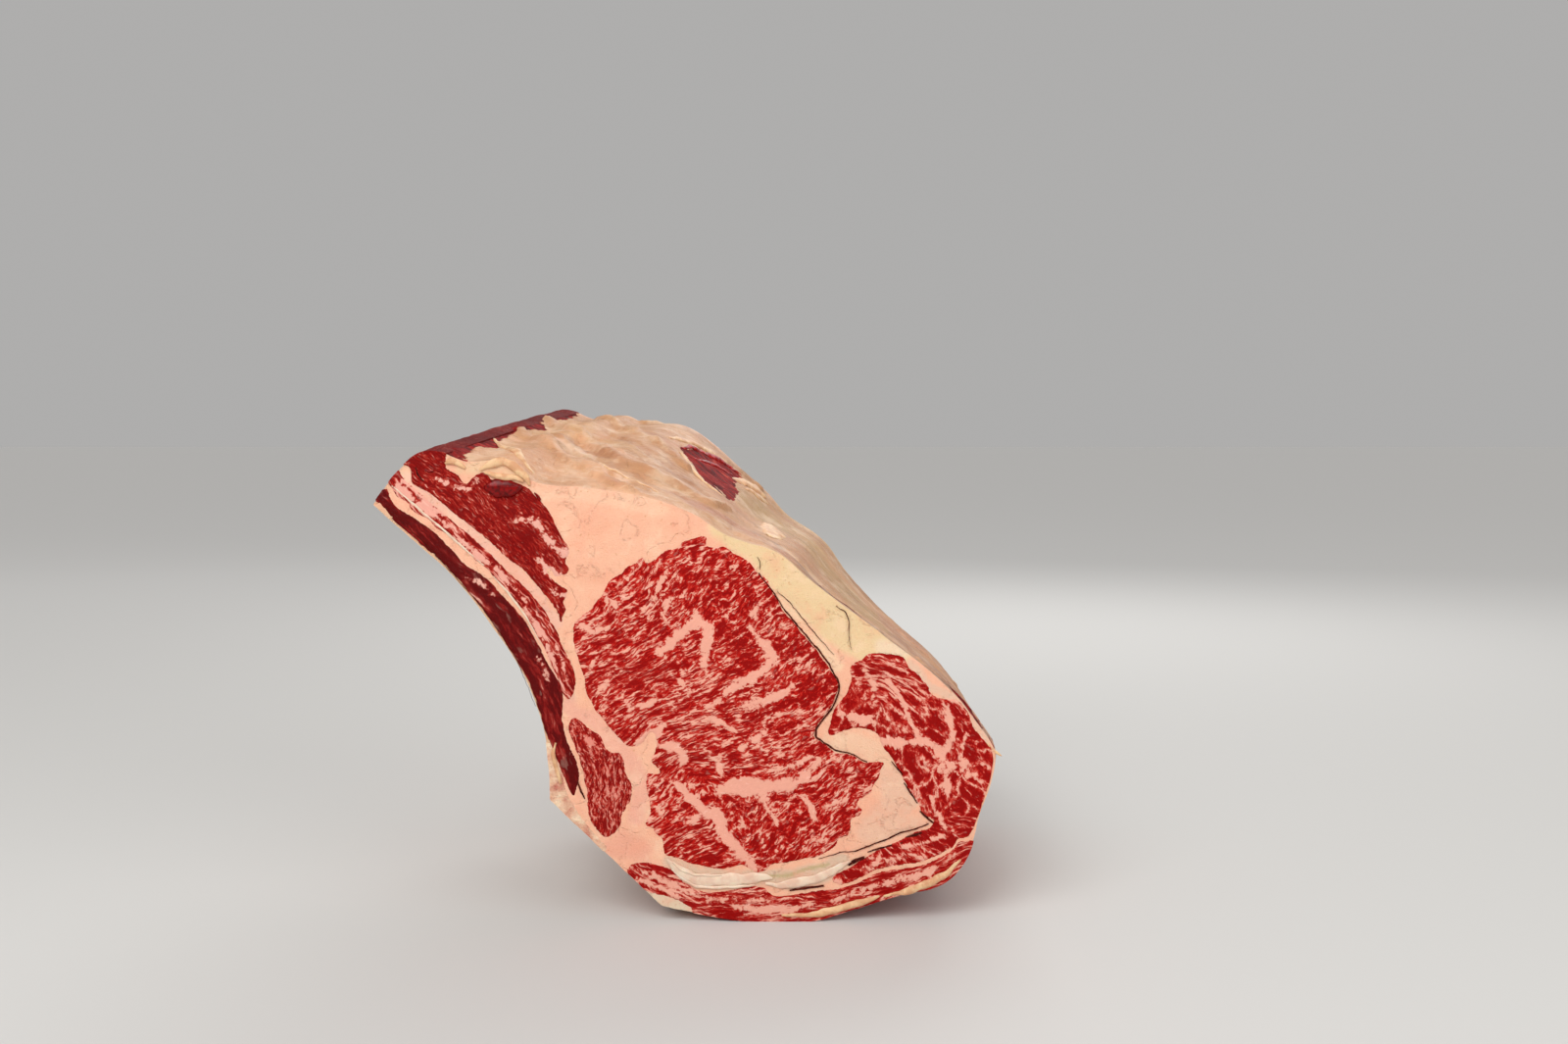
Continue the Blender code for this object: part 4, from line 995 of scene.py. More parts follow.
class ROAST_settings(bpy.types.PropertyGroup):
    cut_spacing: bpy.props.FloatProperty(
        name="Cut spacing", description="Distance between points on the cut faces of the muscles",
        default=0.00085, unit="LENGTH", subtype="DISTANCE")
    fat_spacing: bpy.props.FloatProperty(
        name="Fat spacing", description="Distance between points on the fat's cut faces and round its edge",
        default=0.00115, unit="LENGTH", subtype="DISTANCE")
    side_spacing: bpy.props.FloatProperty(
        name="Side spacing", description="Distance between points from front to back on the outer sides",
        default=0.0018, unit="LENGTH", subtype="DISTANCE")
    proud: bpy.props.FloatProperty(
        name="Proud", description="How far the muscles and bones stand out of the fat",
        default=0.0003, unit="LENGTH", subtype="DISTANCE")
    lean_red: bpy.props.FloatVectorProperty(
        name="Lean", description="Main red of the marbled muscles", subtype="COLOR", size=3,
        default=srgb(198, 20, 11))
    lean_deep: bpy.props.FloatVectorProperty(
        name="Deep lean", description="Darkest red of the marbled muscles", subtype="COLOR", size=3,
        default=srgb(146, 5, 3))
    vein_fat: bpy.props.FloatVectorProperty(
        name="Vein fat", description="Pink of the fat inside the muscles", subtype="COLOR", size=3,
        default=srgb(240, 172, 150))


def settings():
    return bpy.context.scene.roast_settings


def evened(line, spacing):
    """The closed line with even points along it."""
    line = np.vstack([line, line[:1]])
    length = np.insert(np.cumsum(np.linalg.norm(np.diff(line, axis=0), axis=1)), 0, 0)
    wanted = np.linspace(0, length[-1], max(8, round(length[-1] / spacing)), endpoint=False)
    return np.stack([np.interp(wanted, length, line[:, axis]) for axis in (0, 1)], axis=1)


def clipped(outline, limit, spacing):
    """The part of the outline that lies inside the limit, with even points along it."""
    points = np.concatenate([outline, limit])
    count = len(outline)
    edges = [(index, (index + 1) % count) for index in range(count)]
    edges += [(count + index, count + (index + 1) % len(limit)) for index in range(len(limit))]
    made = delaunay_2d_cdt([Vector(point) for point in points], edges, [], 0, 1e-5)
    corners, triangles = np.array([tuple(point) for point in made[0]]), np.array(made[2])
    centres = corners[triangles].mean(axis=1)
    triangles = triangles[inside(centres, outline) & inside(centres, limit)]
    sides = np.concatenate([triangles[:, [0, 1]], triangles[:, [1, 2]], triangles[:, [2, 0]]]).tolist()
    present = {tuple(side) for side in sides}
    following = {a: b for a, b in sides if (b, a) not in present}
    longest = []
    while following:
        start, at = following.popitem()
        loop = [start]
        while at in following:
            loop.append(at)
            at = following.pop(at)
        if len(loop) > len(longest):
            longest = loop
    return evened(corners[longest], spacing)


def roast_outline(spacing_mm):
    return smooth_line(ROAST, spacing_mm)


def cut_outline(points, spacing_mm, roast, proud_mm, seed):
    """A muscle's outline with small uneven edges, kept to the roast."""
    line, _ = smooth_line(points, spacing_mm)
    ragged = noise(np.column_stack([line, np.zeros(len(line))]), 0.45, seed, 2) * 0.40 + 0.12
    line = line + outward(line) * ragged[:, None]
    return clipped(line, roast + outward(roast) * proud_mm, spacing_mm)


FACE_RELIEF = (0.0006, 55)
HOLES = (EYE, CAP, CHINE, TAIL, STRIP, RIB_MEAT, BOTTOM)
OVERLAP_MM = 2.0


def painted(points, base, strokes, warp_seed):
    """Colours at points of the section or of space, from broad soft strokes."""
    colour = np.tile(np.array(srgb(*base)), (len(points), 1))
    flat = points.shape[1] == 2
    at = np.column_stack([points, np.zeros(len(points))]) if flat else points
    drift = np.stack([noise(at, 0.12, warp_seed + 5 * axis, 2) for axis in range(points.shape[1])], axis=1)
    shifted = points + drift * (1.2 if flat else 3.0)
    if not flat:
        wide = np.stack([noise(at * [1, 2.6, 1], 0.022, warp_seed + 31 + axis, 3) for axis in range(3)], axis=1)
        shifted += wide * [14, 9, 14]
    for path, softness, target, strength in strokes:
        away, width = path_distance(shifted, path)
        share = (1 - rise(away, width / 2, width / 2 + softness)) * strength
        colour += (np.array(srgb(*target)) - colour) * share[:, None]
    return colour


class ROAST_OT_fat_body(bpy.types.Operator):
    """Builds the body of fat with the membrane on its outer and inner sides"""

    bl_idname = "roast.fat_body"
    bl_label = "Fat body"

    def execute(self, context):
        sizes = settings()
        spacing = sizes.fat_spacing / MM
        outline, place = roast_outline(spacing)
        first = [-DEPTH / 2 + d * MM for d in (0.25, 0.7, 1.4)]
        middle = np.arange(-DEPTH / 2 + 2.6 * MM, DEPTH / 2 - 2.6 * MM, sizes.side_spacing)
        stations = [*first, *middle, *(-station for station in reversed(first))]
        covers = [smooth_line(points, spacing)[0] for points in HOLES]
        rim_clear = 1.6

        def hollow(flat):
            hidden = np.zeros(len(flat), bool)
            for cover in covers:
                hidden |= edge_distance(flat, cover) < -OVERLAP_MM
            return hidden & (edge_distance(flat, outline) < -rim_clear)

        body = Sweep(outline, spacing, stations, hollow)
        section, y, wall = body.section, body.depth, body.wall
        knot = body.around_all(place)
        rib_side = (knot >= RIB_FROM) & (wall > 0)
        outer = (knot >= OUTER_FROM) & (knot < BASE_FROM) & (wall > 0)
        tail = (knot < OUTER_FROM) & (wall > 0)
        chine = (knot >= CHINE_FROM) & (knot < RIB_FROM) & (wall > 0)
        z_mm = section[:, 1]
        swell = rise(z_mm, 72, 94) * (1 - rise(z_mm, 167, 184)) * rib_side * RIB_BULGE * rib_nearness(y)
        facing = RIB_FACING_LOW + (RIB_FACING_HIGH - RIB_FACING_LOW) * rise(z_mm, 70, 180)
        moved = section - np.stack([np.cos(facing), np.sin(facing)], axis=1) * (swell / MM)[:, None]
        points = settle(moved, y)
        above = rise(points[:, 2], 0.0, 0.004)
        points[:, 2] = np.maximum(points[:, 2], 0)

        mm = points / MM
        run = np.column_stack([section[:, 0] * 0.9 - section[:, 1] * 0.5, y / MM, z_mm * 0.2])
        # Folds of the membrane lie level with the front edge.
        folds = noise(np.column_stack([run[:, 0] * 0.016, y / MM * 0.085 + noise(run, 0.02, 3) * 1.1, z_mm * 0]), 1.0, 11, 3)
        ridge = np.clip(1 - np.abs(folds) * 3.2, 0, 1) ** 1.5
        lift = outer * (noise(run, 0.022, 21, 2) * 1.5 + ridge * 0.4 - 0.3)
        lift += outer * noise(mm, 0.16, 23, 3) * 0.35
        wander = mm + np.stack([noise(mm, 0.08, 81 + axis, 2) for axis in range(3)], axis=1) * 3
        for path, height, reach in OUTER_RELIEF:
            away, width = path_distance(wander, path)
            along_edge = 1 + 0.35 * noise(mm, 0.22, 27)
            lift += outer * height * along_edge * (1 - rise(away, width / 2, width / 2 + reach))
        lift += rib_side * noise(run, 0.05, 31, 3) * 0.5
        rim = np.minimum(y + DEPTH / 2, DEPTH / 2 - y) / MM
        lift *= np.where(wall > 0, rise(rim, 0.3, 6), 1)
        lift *= above
        lift = lift * MM

        colour = painted(section, PINK_FAT, FACE_PAINT, 51)
        x_mm = section[:, 0]
        outer_tint = painted(mm, OUTER_TAN, OUTER_PAINT, 55)
        outer_tint *= (1 + 0.14 * noise(mm, 0.035, 57, 3))[:, None] * np.array([0.88, 0.73, 0.62])
        lower = (rise(mm[:, 2], 84, 66) * (x_mm > 60))[:, None]
        low_tint = np.array(srgb(226, 160, 134)) * (1 + 0.22 * noise(mm * [1, 0.3, 1], 0.14, 76, 4))[:, None]
        outer_tint += (low_tint - outer_tint) * lower
        # A darker, redder copy of the outer colour for the film's dark streaks, which in the sunk folds is painted
        # shade.
        dark = outer_tint * np.array([0.56, 0.45, 0.42])
        between = 1 - rib_nearness(y)
        inner_tint = np.array(srgb(216, 172, 148)) * (1 + 0.22 * noise(mm * [1, 1, 0.4], 0.06, 59, 4))[:, None]
        shown = (0.92 * rise(between + 0.55 * noise(mm * [1, 1, 0.45], 0.07, 58, 4), 0.30, 0.80))[:, None]
        rib_colour = inner_tint + (np.array(srgb(136, 44, 44)) - inner_tint) * shown
        head = rise(z_mm, 84, 66)[:, None]
        rib_colour += (np.array(srgb(220, 164, 140)) - rib_colour) * head * 0.85
        inner_dark = rib_colour * np.array([0.66, 0.50, 0.50])
        outer_tint = np.where(rib_side[:, None], rib_colour, outer_tint)
        dark = np.where(rib_side[:, None], inner_dark, dark)
        sawn = np.array(srgb(226, 168, 144)) * np.ones((len(section), 1))
        outer_tint = np.where(chine[:, None], sawn, outer_tint)
        dark = np.where(chine[:, None], sawn * np.array([0.62, 0.32, 0.30]), dark)
        under = (knot >= BASE_FROM) & (knot < CHINE_FROM) & (wall > 0)
        outer_tint = np.where(under[:, None], np.array(srgb(226, 176, 148)) * np.ones((len(section), 1)), outer_tint)
        fade = np.exp(-np.minimum(y + DEPTH / 2, DEPTH / 2 - y) / MM / 1.6)[:, None] * (outer | tail)[:, None]
        outer_tint += (colour - outer_tint) * fade
        dark += (colour * 0.8 - dark) * fade
        colour = np.where(wall[:, None] > 0, outer_tint, colour)
        lip = bump(edge_distance(section, outline), 0, 2.6) * (wall == 0) * (section[:, 0] < -50) * (section[:, 1] > 60)
        colour += (np.array(srgb(*MEMBRANE)) - colour) * (lip * rise(section[:, 1] + section[:, 0], 118, 20))[:, None]

        torn_at = wander[:, :2] + np.stack([noise(mm, 0.30, 77 + axis, 2) for axis in range(2)], axis=1) * 1.6
        patch = inside(torn_at, np.array(TORN_PATCH)) & (mm[:, 2] > 150) & outer
        near_patch = np.abs(edge_distance(torn_at, smooth_line(TORN_PATCH, 2.0)[0]))
        lean = np.where(outer & (mm[:, 2] > 150), np.where(patch, 0.5 + np.minimum(near_patch, 3) / 6, 0.5 - np.minimum(near_patch, 3) / 6), 0)
        patches = noise(mm, 0.06, 71, 3)
        low_streaks = noise(mm * [1, 0.3, 1], 0.10, 75, 3)
        lean += outer * rise(mm[:, 2], 78, 60) * (x_mm > 60) * rise(low_streaks, 0.05, 0.35) * 0.7
        lean += rise(x_mm, 92, 112) * outer * rise(mm[:, 2], 60, 84) * rise(patches, -0.1, 0.4) * 0.66
        lean += tail * 0.9
        reach = x_mm + noise(mm, 0.07, 73, 3) * 9 + (mm[:, 1] + 80) * 0.04
        lean += outer * rise(reach, -90, -102) * 0.9
        lift = np.where(lean > 0.5, lift - 0.5 * MM * above, lift)
        cover = wall * (1 - bump(rim, 0, 0.8))

        mesh = to_mesh(
            "fat_body", points, body.faces,
            {"lift": lift, "free": above, "cover": cover, "lean": np.clip(lean, 0, 1)},
            {"tint": colour, "film_dark": dark}, {"streak": run},
        )
        finished_piece("beef_fat", mesh, fat_material(), (*FACE_RELIEF, 0.00009, 420), ["fat_body"])
        return {"FINISHED"}


TORN_PATCH = [
    (-14, 23), (-10, 37), (-4, 47), (3.5, 57), (10, 64), (16, 60), (14, 48), (13, 33), (12, 10), (11, -10),
    (8, -7), (4, -2), (0, -8), (-5, 7), (-10, 13),
]


def lean_piece(name, points, veins, lie, material, seed, exposed=False, core=0.0, dried=0.0):
    """A muscle swept through the roast, standing just proud of the fat, with its grain and veins."""
    sizes = settings()
    spacing = sizes.cut_spacing / MM
    proud_mm = sizes.proud / MM
    roast, _ = roast_outline(spacing)
    outline = cut_outline(points, spacing, roast, proud_mm, seed)
    step = 2.0 * MM if exposed else 14 * MM
    ends = [0.2 * MM, 0.7 * MM] if exposed else [0.9 * MM]
    middle = np.arange(-DEPTH / 2 + 3 * MM, DEPTH / 2 - 2 * MM, step)
    stations = [*(-DEPTH / 2 + e for e in ends), *middle, *(DEPTH / 2 - e for e in reversed(ends))]
    body = Sweep(outline, spacing, stations)
    section, y = body.section, body.depth
    placed = settle(section, y)
    above = rise(placed[:, 2], 0.0, 0.003)
    placed[:, 2] = np.maximum(placed[:, 2], 0)
    cap = body.wall == 0
    free_rim = np.clip(body.edge, 0, 3)
    on_rim = edge_distance(section, roast) > -1.2
    dip = np.where(on_rim, 0.05, proud_mm + 0.16) * np.exp(-((free_rim / 0.30) ** 2))
    out = np.where(cap, proud_mm - dip, 0.0)
    placed[:, 1] += np.where(y < 0, -1, 1) * out * MM * cap
    back = y > 0
    shifted = section + np.where(back[:, None], [6.0, -5.0], [0.0, 0.0])
    grain = grain_places(shifted, lie)
    vein = vein_depth(np.where(back[:, None], section * [0.97, 0.97] + [2.0, 6.0], section), veins)
    grain = np.column_stack([grain, y / MM + seed * 11])
    mm = placed / MM
    lift = ~cap * (0.35 if exposed else 0) * noise(mm, 0.12, seed + 5, 2)
    edge = np.where(on_rim, 3.0, body.edge)
    mesh = to_mesh(
        name, placed, body.faces,
        {
            "lift": lift * MM * above, "free": above, "vein": vein, "edge": edge,
            "dry": (body.wall > 0) * dried,
            "core": np.full(len(y), core) * rise(body.edge, 0.6, 2.0) + (body.wall > 0) * core,
        }, None, {"grain": grain},
    )
    return finished_piece(name + "_lean", mesh, material, (*FACE_RELIEF, 0.00012, 600), [name])


class ROAST_OT_muscles(bpy.types.Operator):
    """Builds the eye, cap, chine, tail, rib and bottom muscles with their marbling"""

    bl_idname = "roast.muscles"
    bl_label = "Muscles"

    def execute(self, context):
        sizes = settings()
        red, deep, fat = tuple(sizes.lean_red), tuple(sizes.lean_deep), tuple(sizes.vein_fat)
        warm, pink = srgb(204, 58, 44), srgb(224, 118, 102)
        eye = lean_material("eye_lean", deep, red, warm, pink, fat, 0.13, 0.48, 0.3, -0.50, 3.3, 1.0, 0.45, pepper=0.52)
        cap = lean_material(
            "cap_lean", deep, srgb(176, 14, 10), warm, pink, fat, 0.15, 0.44, 0.28, -0.86, 3.3, 0.6, 0.4, 4.0,
            islands=0.17)
        chine = lean_material(
            "chine_lean", srgb(132, 10, 8), srgb(180, 30, 22), srgb(200, 66, 52), srgb(214, 108, 92),
            srgb(226, 138, 122), 0.18, 0.60, 0.3, -0.52, 3.0, 1.0, 0.2, pepper=0.8)
        tail = lean_material(
            "tail_lean", srgb(122, 6, 4), srgb(166, 22, 14), srgb(186, 56, 42), srgb(206, 104, 88),
            srgb(238, 176, 158), 0.14, 0.85, 0.4, -0.50, 2.0, 0.4, 0.4, fibre=0.35, pepper=0.8)
        strip = lean_material(
            "strip_lean", srgb(124, 8, 6), srgb(172, 28, 20), srgb(194, 62, 48), srgb(218, 120, 104),
            srgb(238, 170, 152), 0.06, 0.50, 0.2, -0.52, 3.2, 0.7, 0.2)
        rib = lean_material(
            "rib_lean", srgb(92, 8, 8), srgb(132, 20, 18), srgb(152, 38, 32), srgb(172, 70, 60),
            srgb(222, 160, 142), 0.05, 0.22, 0.12, -0.52, 2.6, 0.3, 0.4, rough=0.24, fibre=0.4, shade=0.6)
        bottom = lean_material(
            "bottom_lean", deep, srgb(180, 24, 18), srgb(204, 64, 50), srgb(226, 128, 110), srgb(238, 172, 150),
            0.08, 0.60, 0.2, -0.44, 3.4, 0.7, 0.5)
        lean_piece("eye_muscle", EYE, EYE_VEINS, EYE_GRAIN, eye, 1)
        lean_piece("cap_muscle", CAP, CAP_VEINS, CAP_GRAIN, cap, 2, exposed=True, dried=0.4)
        lean_piece("chine_muscle", CHINE, CHINE_VEINS, CHINE_GRAIN, chine, 3)
        lean_piece("tail_muscle", TAIL, TAIL_VEINS, TAIL_GRAIN, tail, 4, exposed=True, dried=0.95)
        lean_piece("tail_strip", STRIP, STRIP_VEINS, STRIP_GRAIN, strip, 5, exposed=True, dried=0.5)
        lean_piece("rib_meat", RIB_MEAT, RIB_MEAT_VEINS, RIB_GRAIN, rib, 6, exposed=True)
        lean_piece("bottom_muscle", BOTTOM, BOTTOM_VEINS, BOTTOM_GRAIN, bottom, 7, exposed=True)
        return {"FINISHED"}


RIB_THICKNESS, RIB_WIDTH, RIB_COVER = 8.4, 26 * MM, 1.6
RIB_HEAD, RIB_LINE_END = (-62.5, 82), (-138, 185)
RIB_PROUD = 1.3


def rib_line():
    """The ribs' centreline in the section, under the inner side's membrane, as far as the sawn end."""
    inward = RIB_THICKNESS / 2 + RIB_COVER - RIB_BULGE / MM
    knots = np.array([RIB_HEAD, *RIB_SIDE[1:], RIB_LINE_END], float)
    ahead = np.gradient(knots, axis=0)
    ahead /= np.linalg.norm(ahead, axis=1)[:, None]
    knots += np.stack([ahead[:, 1], -ahead[:, 0]], axis=1) * inward
    line, _ = smooth_line([tuple(knot) for knot in knots], 1.6, closed=False)
    start, end = np.array(TAIL_END[0][:2]), np.array(TAIL_END[1][:2])
    normal = np.array([-(end - start)[1], (end - start)[0]])
    past = (line - start) @ normal / np.linalg.norm(normal)
    return line[past < -0.4] if (past > 0).any() else line


def sawn_flush(ring, way):
    """The ring moved along the rib until each point lies just proud of the roast's sawn end."""
    start, end = np.array(TAIL_END[0][:2]), np.array(TAIL_END[1][:2])
    normal = np.array([-(end - start)[1], (end - start)[0]]) / np.linalg.norm(end - start)
    left = RIB_PROUD - (ring - start) @ normal
    return ring + np.outer(left / (way @ normal), way)


def tube_faces(rings, sides):
    """Faces of a closed tube, with one point after all the rings for each end."""
    turn = np.arange(sides)
    after = (turn + 1) % sides
    faces = []
    for ring in range(rings - 1):
        near, far = ring * sides, (ring + 1) * sides
        faces.append(np.stack([near + turn, near + after, far + after], axis=1))
        faces.append(np.stack([near + turn, far + after, far + turn], axis=1))
    last = (rings - 1) * sides
    faces.append(np.stack([np.full(sides, rings * sides), after, turn], axis=1))
    faces.append(np.stack([np.full(sides, rings * sides + 1), last + turn, last + after], axis=1))
    return np.concatenate(faces)


class ROAST_OT_bones(bpy.types.Operator):
    """Builds the three ribs and the chine bone, sawn flush"""

    bl_idname = "roast.bones"
    bl_label = "Bones"

    def execute(self, context):
        bone = bone_material()
        lean_piece("chine_bone", CHINE_BONE, [], CHINE_GRAIN, bone, 8, exposed=True, core=0.30)
        line = rib_line()
        ahead = np.gradient(line, axis=0)
        ahead /= np.linalg.norm(ahead, axis=1)[:, None]
        aside = np.stack([ahead[:, 1], -ahead[:, 0]], axis=1)
        sides = 36
        turn = np.linspace(0, 2 * math.pi, sides, endpoint=False)
        for index, centre in enumerate(RIB_CENTRES, start=1):
            rings, cores = [], []
            for place, (point, side, way) in enumerate(zip(line, aside, ahead)):
                taper = rise(place, -3, 12)
                across = np.cos(turn) * RIB_THICKNESS / 2 * taper
                ring = point - side * (1 - taper) * 4 + across[:, None] * side
                if place == len(line) - 1:
                    ring = sawn_flush(ring, way)
                rings.append((ring, centre + np.sin(turn) * RIB_WIDTH / 2 * (0.6 + 0.4 * taper)))
                cores.append(np.zeros(sides))
            last, last_y = rings[-1]
            for share in (0.94, 0.84, 0.7, 0.5, 0.3, 0.12):
                middle = last.mean(axis=0)
                dent = ahead[-1] * 0.35 * rise(share, 0.9, 0.6)
                rings.append((middle + (last - middle) * share - dent, centre + (last_y - centre) * share))
                cores.append(np.full(sides, rise(share, 0.90, 0.62)))
            flat = np.concatenate([ring for ring, _ in rings])
            depth = np.concatenate([ring_y for _, ring_y in rings])
            points = settle(flat, depth)
            points = np.vstack([points, points[:sides].mean(axis=0), points[-sides:].mean(axis=0)])
            mesh = to_mesh(
                f"rib_{index}", points, tube_faces(len(rings), sides),
                {
                    "lift": np.zeros(len(points)), "free": np.ones(len(points)),
                    "core": np.concatenate([*cores, [0.0, 1.0]]),
                },
            )
            finished_piece(f"rib_{index}_bone", mesh, bone, (0.0003, 200, 0.0001, 900), [f"rib_{index}"])
        return {"FINISHED"}


# Thin dark lines on the cut, partly the dark red of the seams and partly painted shade standing in for the depth of
# cracks and slots: points (x, z, width) on the front, in millimetres.
CREVICES = [
    [(30, 153, 0.6), (36, 145.5, 0.8), (41, 137.5, 0.9), (48, 129, 0.9), (56, 119.5, 1), (61, 112.5, 1),
     (65, 105, 1), (64.6, 101, 1), (62, 94.5, 1), (58, 89.5, 1.1), (55, 85.5, 1.2), (54.6, 82, 1.2),
     (58, 79.3, 1.1), (64, 75.6, 0.9), (70, 74.4, 0.7), (77, 70.6, 0.6)],
    [(38, 145, 0.2), (43, 141, 0.4), (48, 134.5, 0.45), (56, 125, 0.4), (62.5, 117.5, 0.2)],
    [(29.5, 160, 0.2), (31, 157.5, 0.5), (30.5, 154.5, 0.3)],
    [(63.5, 139, 0.3), (67.5, 136, 0.6), (69, 132, 0.5), (69, 125.5, 0.3), (70, 119.5, 0.2)],
    [(43.5, 14, 0.9), (50, 15, 1.5), (58.5, 16, 1.2)],
    [(69, 25, 1.2), (72, 27.2, 2.6), (76, 28.5, 1.6)],
    [(65, 31, 0.4), (71.5, 31, 0.7), (80, 34.5, 0.8), (85.5, 36.5, 0.9), (91.5, 39.5, 0.9), (98, 41, 0.9),
     (104, 43.5, 0.7)],
    [(77.5, 31, 0.5), (84, 33, 1.2), (92.5, 35, 1.2)],
    [(94, 37.5, 0.6), (98, 38.6, 1.6), (101, 39.5, 1)],
    [(87.5, 71, 0.4), (90, 68, 1), (92.5, 65, 0.6)],
    [(93, 61.5, 0.5), (96, 57, 1), (99, 52.5, 0.7)],
    [(100, 49, 0.8), (103, 46.3, 1.6), (106, 44, 1)],
    [(56, 28, 0.2), (62, 29.6, 0.5), (66, 31, 0.5)],
    [(-48.5, 62.5, 0.6), (-47.5, 58, 1.4), (-45.5, 54.5, 0.6)],
    [(-116.5, 198.5, 0.4), (-116, 195.5, 1), (-113.5, 192.5, 0.5)],
    [(-132.4, 184.2, 0.2), (-112, 164.6, 0.35), (-90, 139.6, 0.35), (-74.5, 116, 0.3), (-66.5, 95, 0.2)],
]


def lobe(path, widths, heights, outs, sides=10):
    """A closed tapering roll along a path, wide across it and low outwards."""
    path = np.array(path, float)
    ahead = np.gradient(path, axis=0)
    ahead /= np.linalg.norm(ahead, axis=1)[:, None] + 1e-12
    outs = np.array(outs, float)
    outs = outs - np.sum(outs * ahead, axis=1)[:, None] * ahead
    outs /= np.linalg.norm(outs, axis=1)[:, None] + 1e-12
    across = np.cross(ahead, outs)
    angles = np.linspace(0, 2 * math.pi, sides, endpoint=False)
    rings = []
    for point, wide, high, side, out in zip(path, widths, heights, across, outs):
        rings.append(point + np.outer(np.cos(angles) * wide / 2, side) + np.outer(np.sin(angles) * high / 2, out))
    points = np.concatenate([*rings, path[:1], path[-1:]])
    return points, tube_faces(len(path), sides)[:, ::-1]


def resampled(path, step):
    """Even rows along a path of rows, smoothed, for any number of columns."""
    path = np.array(path, float)
    length = np.insert(np.cumsum(np.linalg.norm(np.diff(path[:, :2], axis=0), axis=1)), 0, 0)
    steps = max(4, int(length[-1] / step))
    wanted = np.linspace(0, length[-1], steps + 1)
    rows = np.stack([np.interp(wanted, length, path[:, k]) for k in range(path.shape[1])], axis=1)
    for _ in range(2):
        rows[1:-1] = (rows[:-2] + 2 * rows[1:-1] + rows[2:]) / 4
    return rows


def joined(parts):
    points, faces, base = [], [], 0
    for part_points, part_faces in parts:
        points.append(part_points)
        faces.append(part_faces + base)
        base += len(part_points)
    return np.concatenate(points), np.concatenate(faces)


def trimming(name, parts, material, heights):
    points, faces = joined(parts)
    ones = np.ones(len(points))
    mesh = to_mesh(name, points, faces, {"lift": ones * 0, "free": ones})
    return finished_piece(name, mesh, material, heights, sharp=60)


# Rolls of fat on the outer side in object space: (path of (x, y, z, width), height), in millimetres.
OUTER_FLAPS = [
    ([(29.5, 9, 168, 2), (30.5, 2, 167.4, 9), (31, -8, 166.8, 13), (31.5, -18, 166, 14), (31.8, -27, 165.2, 11),
      (31, -36, 165, 3)], 2.6),
    ([(10.6, 45, 190.5, 2), (13.5, 50, 188.8, 6), (18, 56, 186.3, 8), (23, 63, 183, 8), (27.5, 69, 179, 4)], 3.0),
    ([(17, 40, 183.7, 2), (22, 48, 181, 6), (26.5, 57, 178, 6), (29.5, 63, 175.8, 2)], 2.4),
    ([(-15, 16, 203, 2), (-11, 8, 199.5, 4), (-5, -3, 194, 4), (2, -9, 187.5, 3), (8, -10, 182.5, 1.5)], 1.6),
    ([(-22, 30, 209, 2), (-15, 40, 207.4, 5), (-8, 50, 204, 5), (0, 60, 200, 3)], 1.8),
    ([(-97, -30, 210.7, 1.5), (-91, -41, 208.5, 3), (-86, -49, 206, 4), (-79, -64, 203, 4), (-74, -68, 199.5, 3),
      (-70.7, -70, 196.8, 1.5)], 1.6),
    ([(-50, -40, 200, 1), (-42, -52, 196.4, 2.6), (-33, -59, 192.6, 3), (-26, -62, 189.8, 2.6), (-18, -65, 186.6, 1)], 1.3),
]
TORN_SHREDS = [
    ([(-14.5, 25, 205, 1), (-11, 36, 204.8, 3.4), (-5, 46, 202.4, 4), (2, 56, 199, 4), (9, 63, 195, 3), (14, 64, 190, 1)], 1.5),
    ([(-8, 22, 200, 1), (-2, 34, 198, 3), (4, 44, 195, 3), (10, 52, 190.5, 1)], 1.3),
    ([(-112, -70, 208, 1), (-110, -50, 210, 4), (-109, -28, 212, 5), (-108, -4, 214, 4), (-107, 20, 217, 2)], 1.4),
]
# Tears in the fat, whose dark red stands for the lean inside and painted shade in the holes: (path of (x, y, z, width),
# height).
TEARS = [
    ([(-87.5, -74, 202, 1), (-84, -74, 201.4, 4), (-80.5, -75, 200, 5), (-77, -77, 197.5, 4), (-74, -79, 193.5, 1.2)], 0.9),
    ([(0, -3, 192, 1), (4, -5, 189, 2), (8, -8, 185, 1)], 0.8),
    ([(52, -70, 146, 0.8), (58, -69, 141, 1.4), (64, -69, 135, 1.2), (69, -70, 130, 0.6)], 0.5),
    ([(84, -72, 113, 0.6), (92, -70, 108, 1.2), (100, -68, 103, 0.8)], 0.5),
]
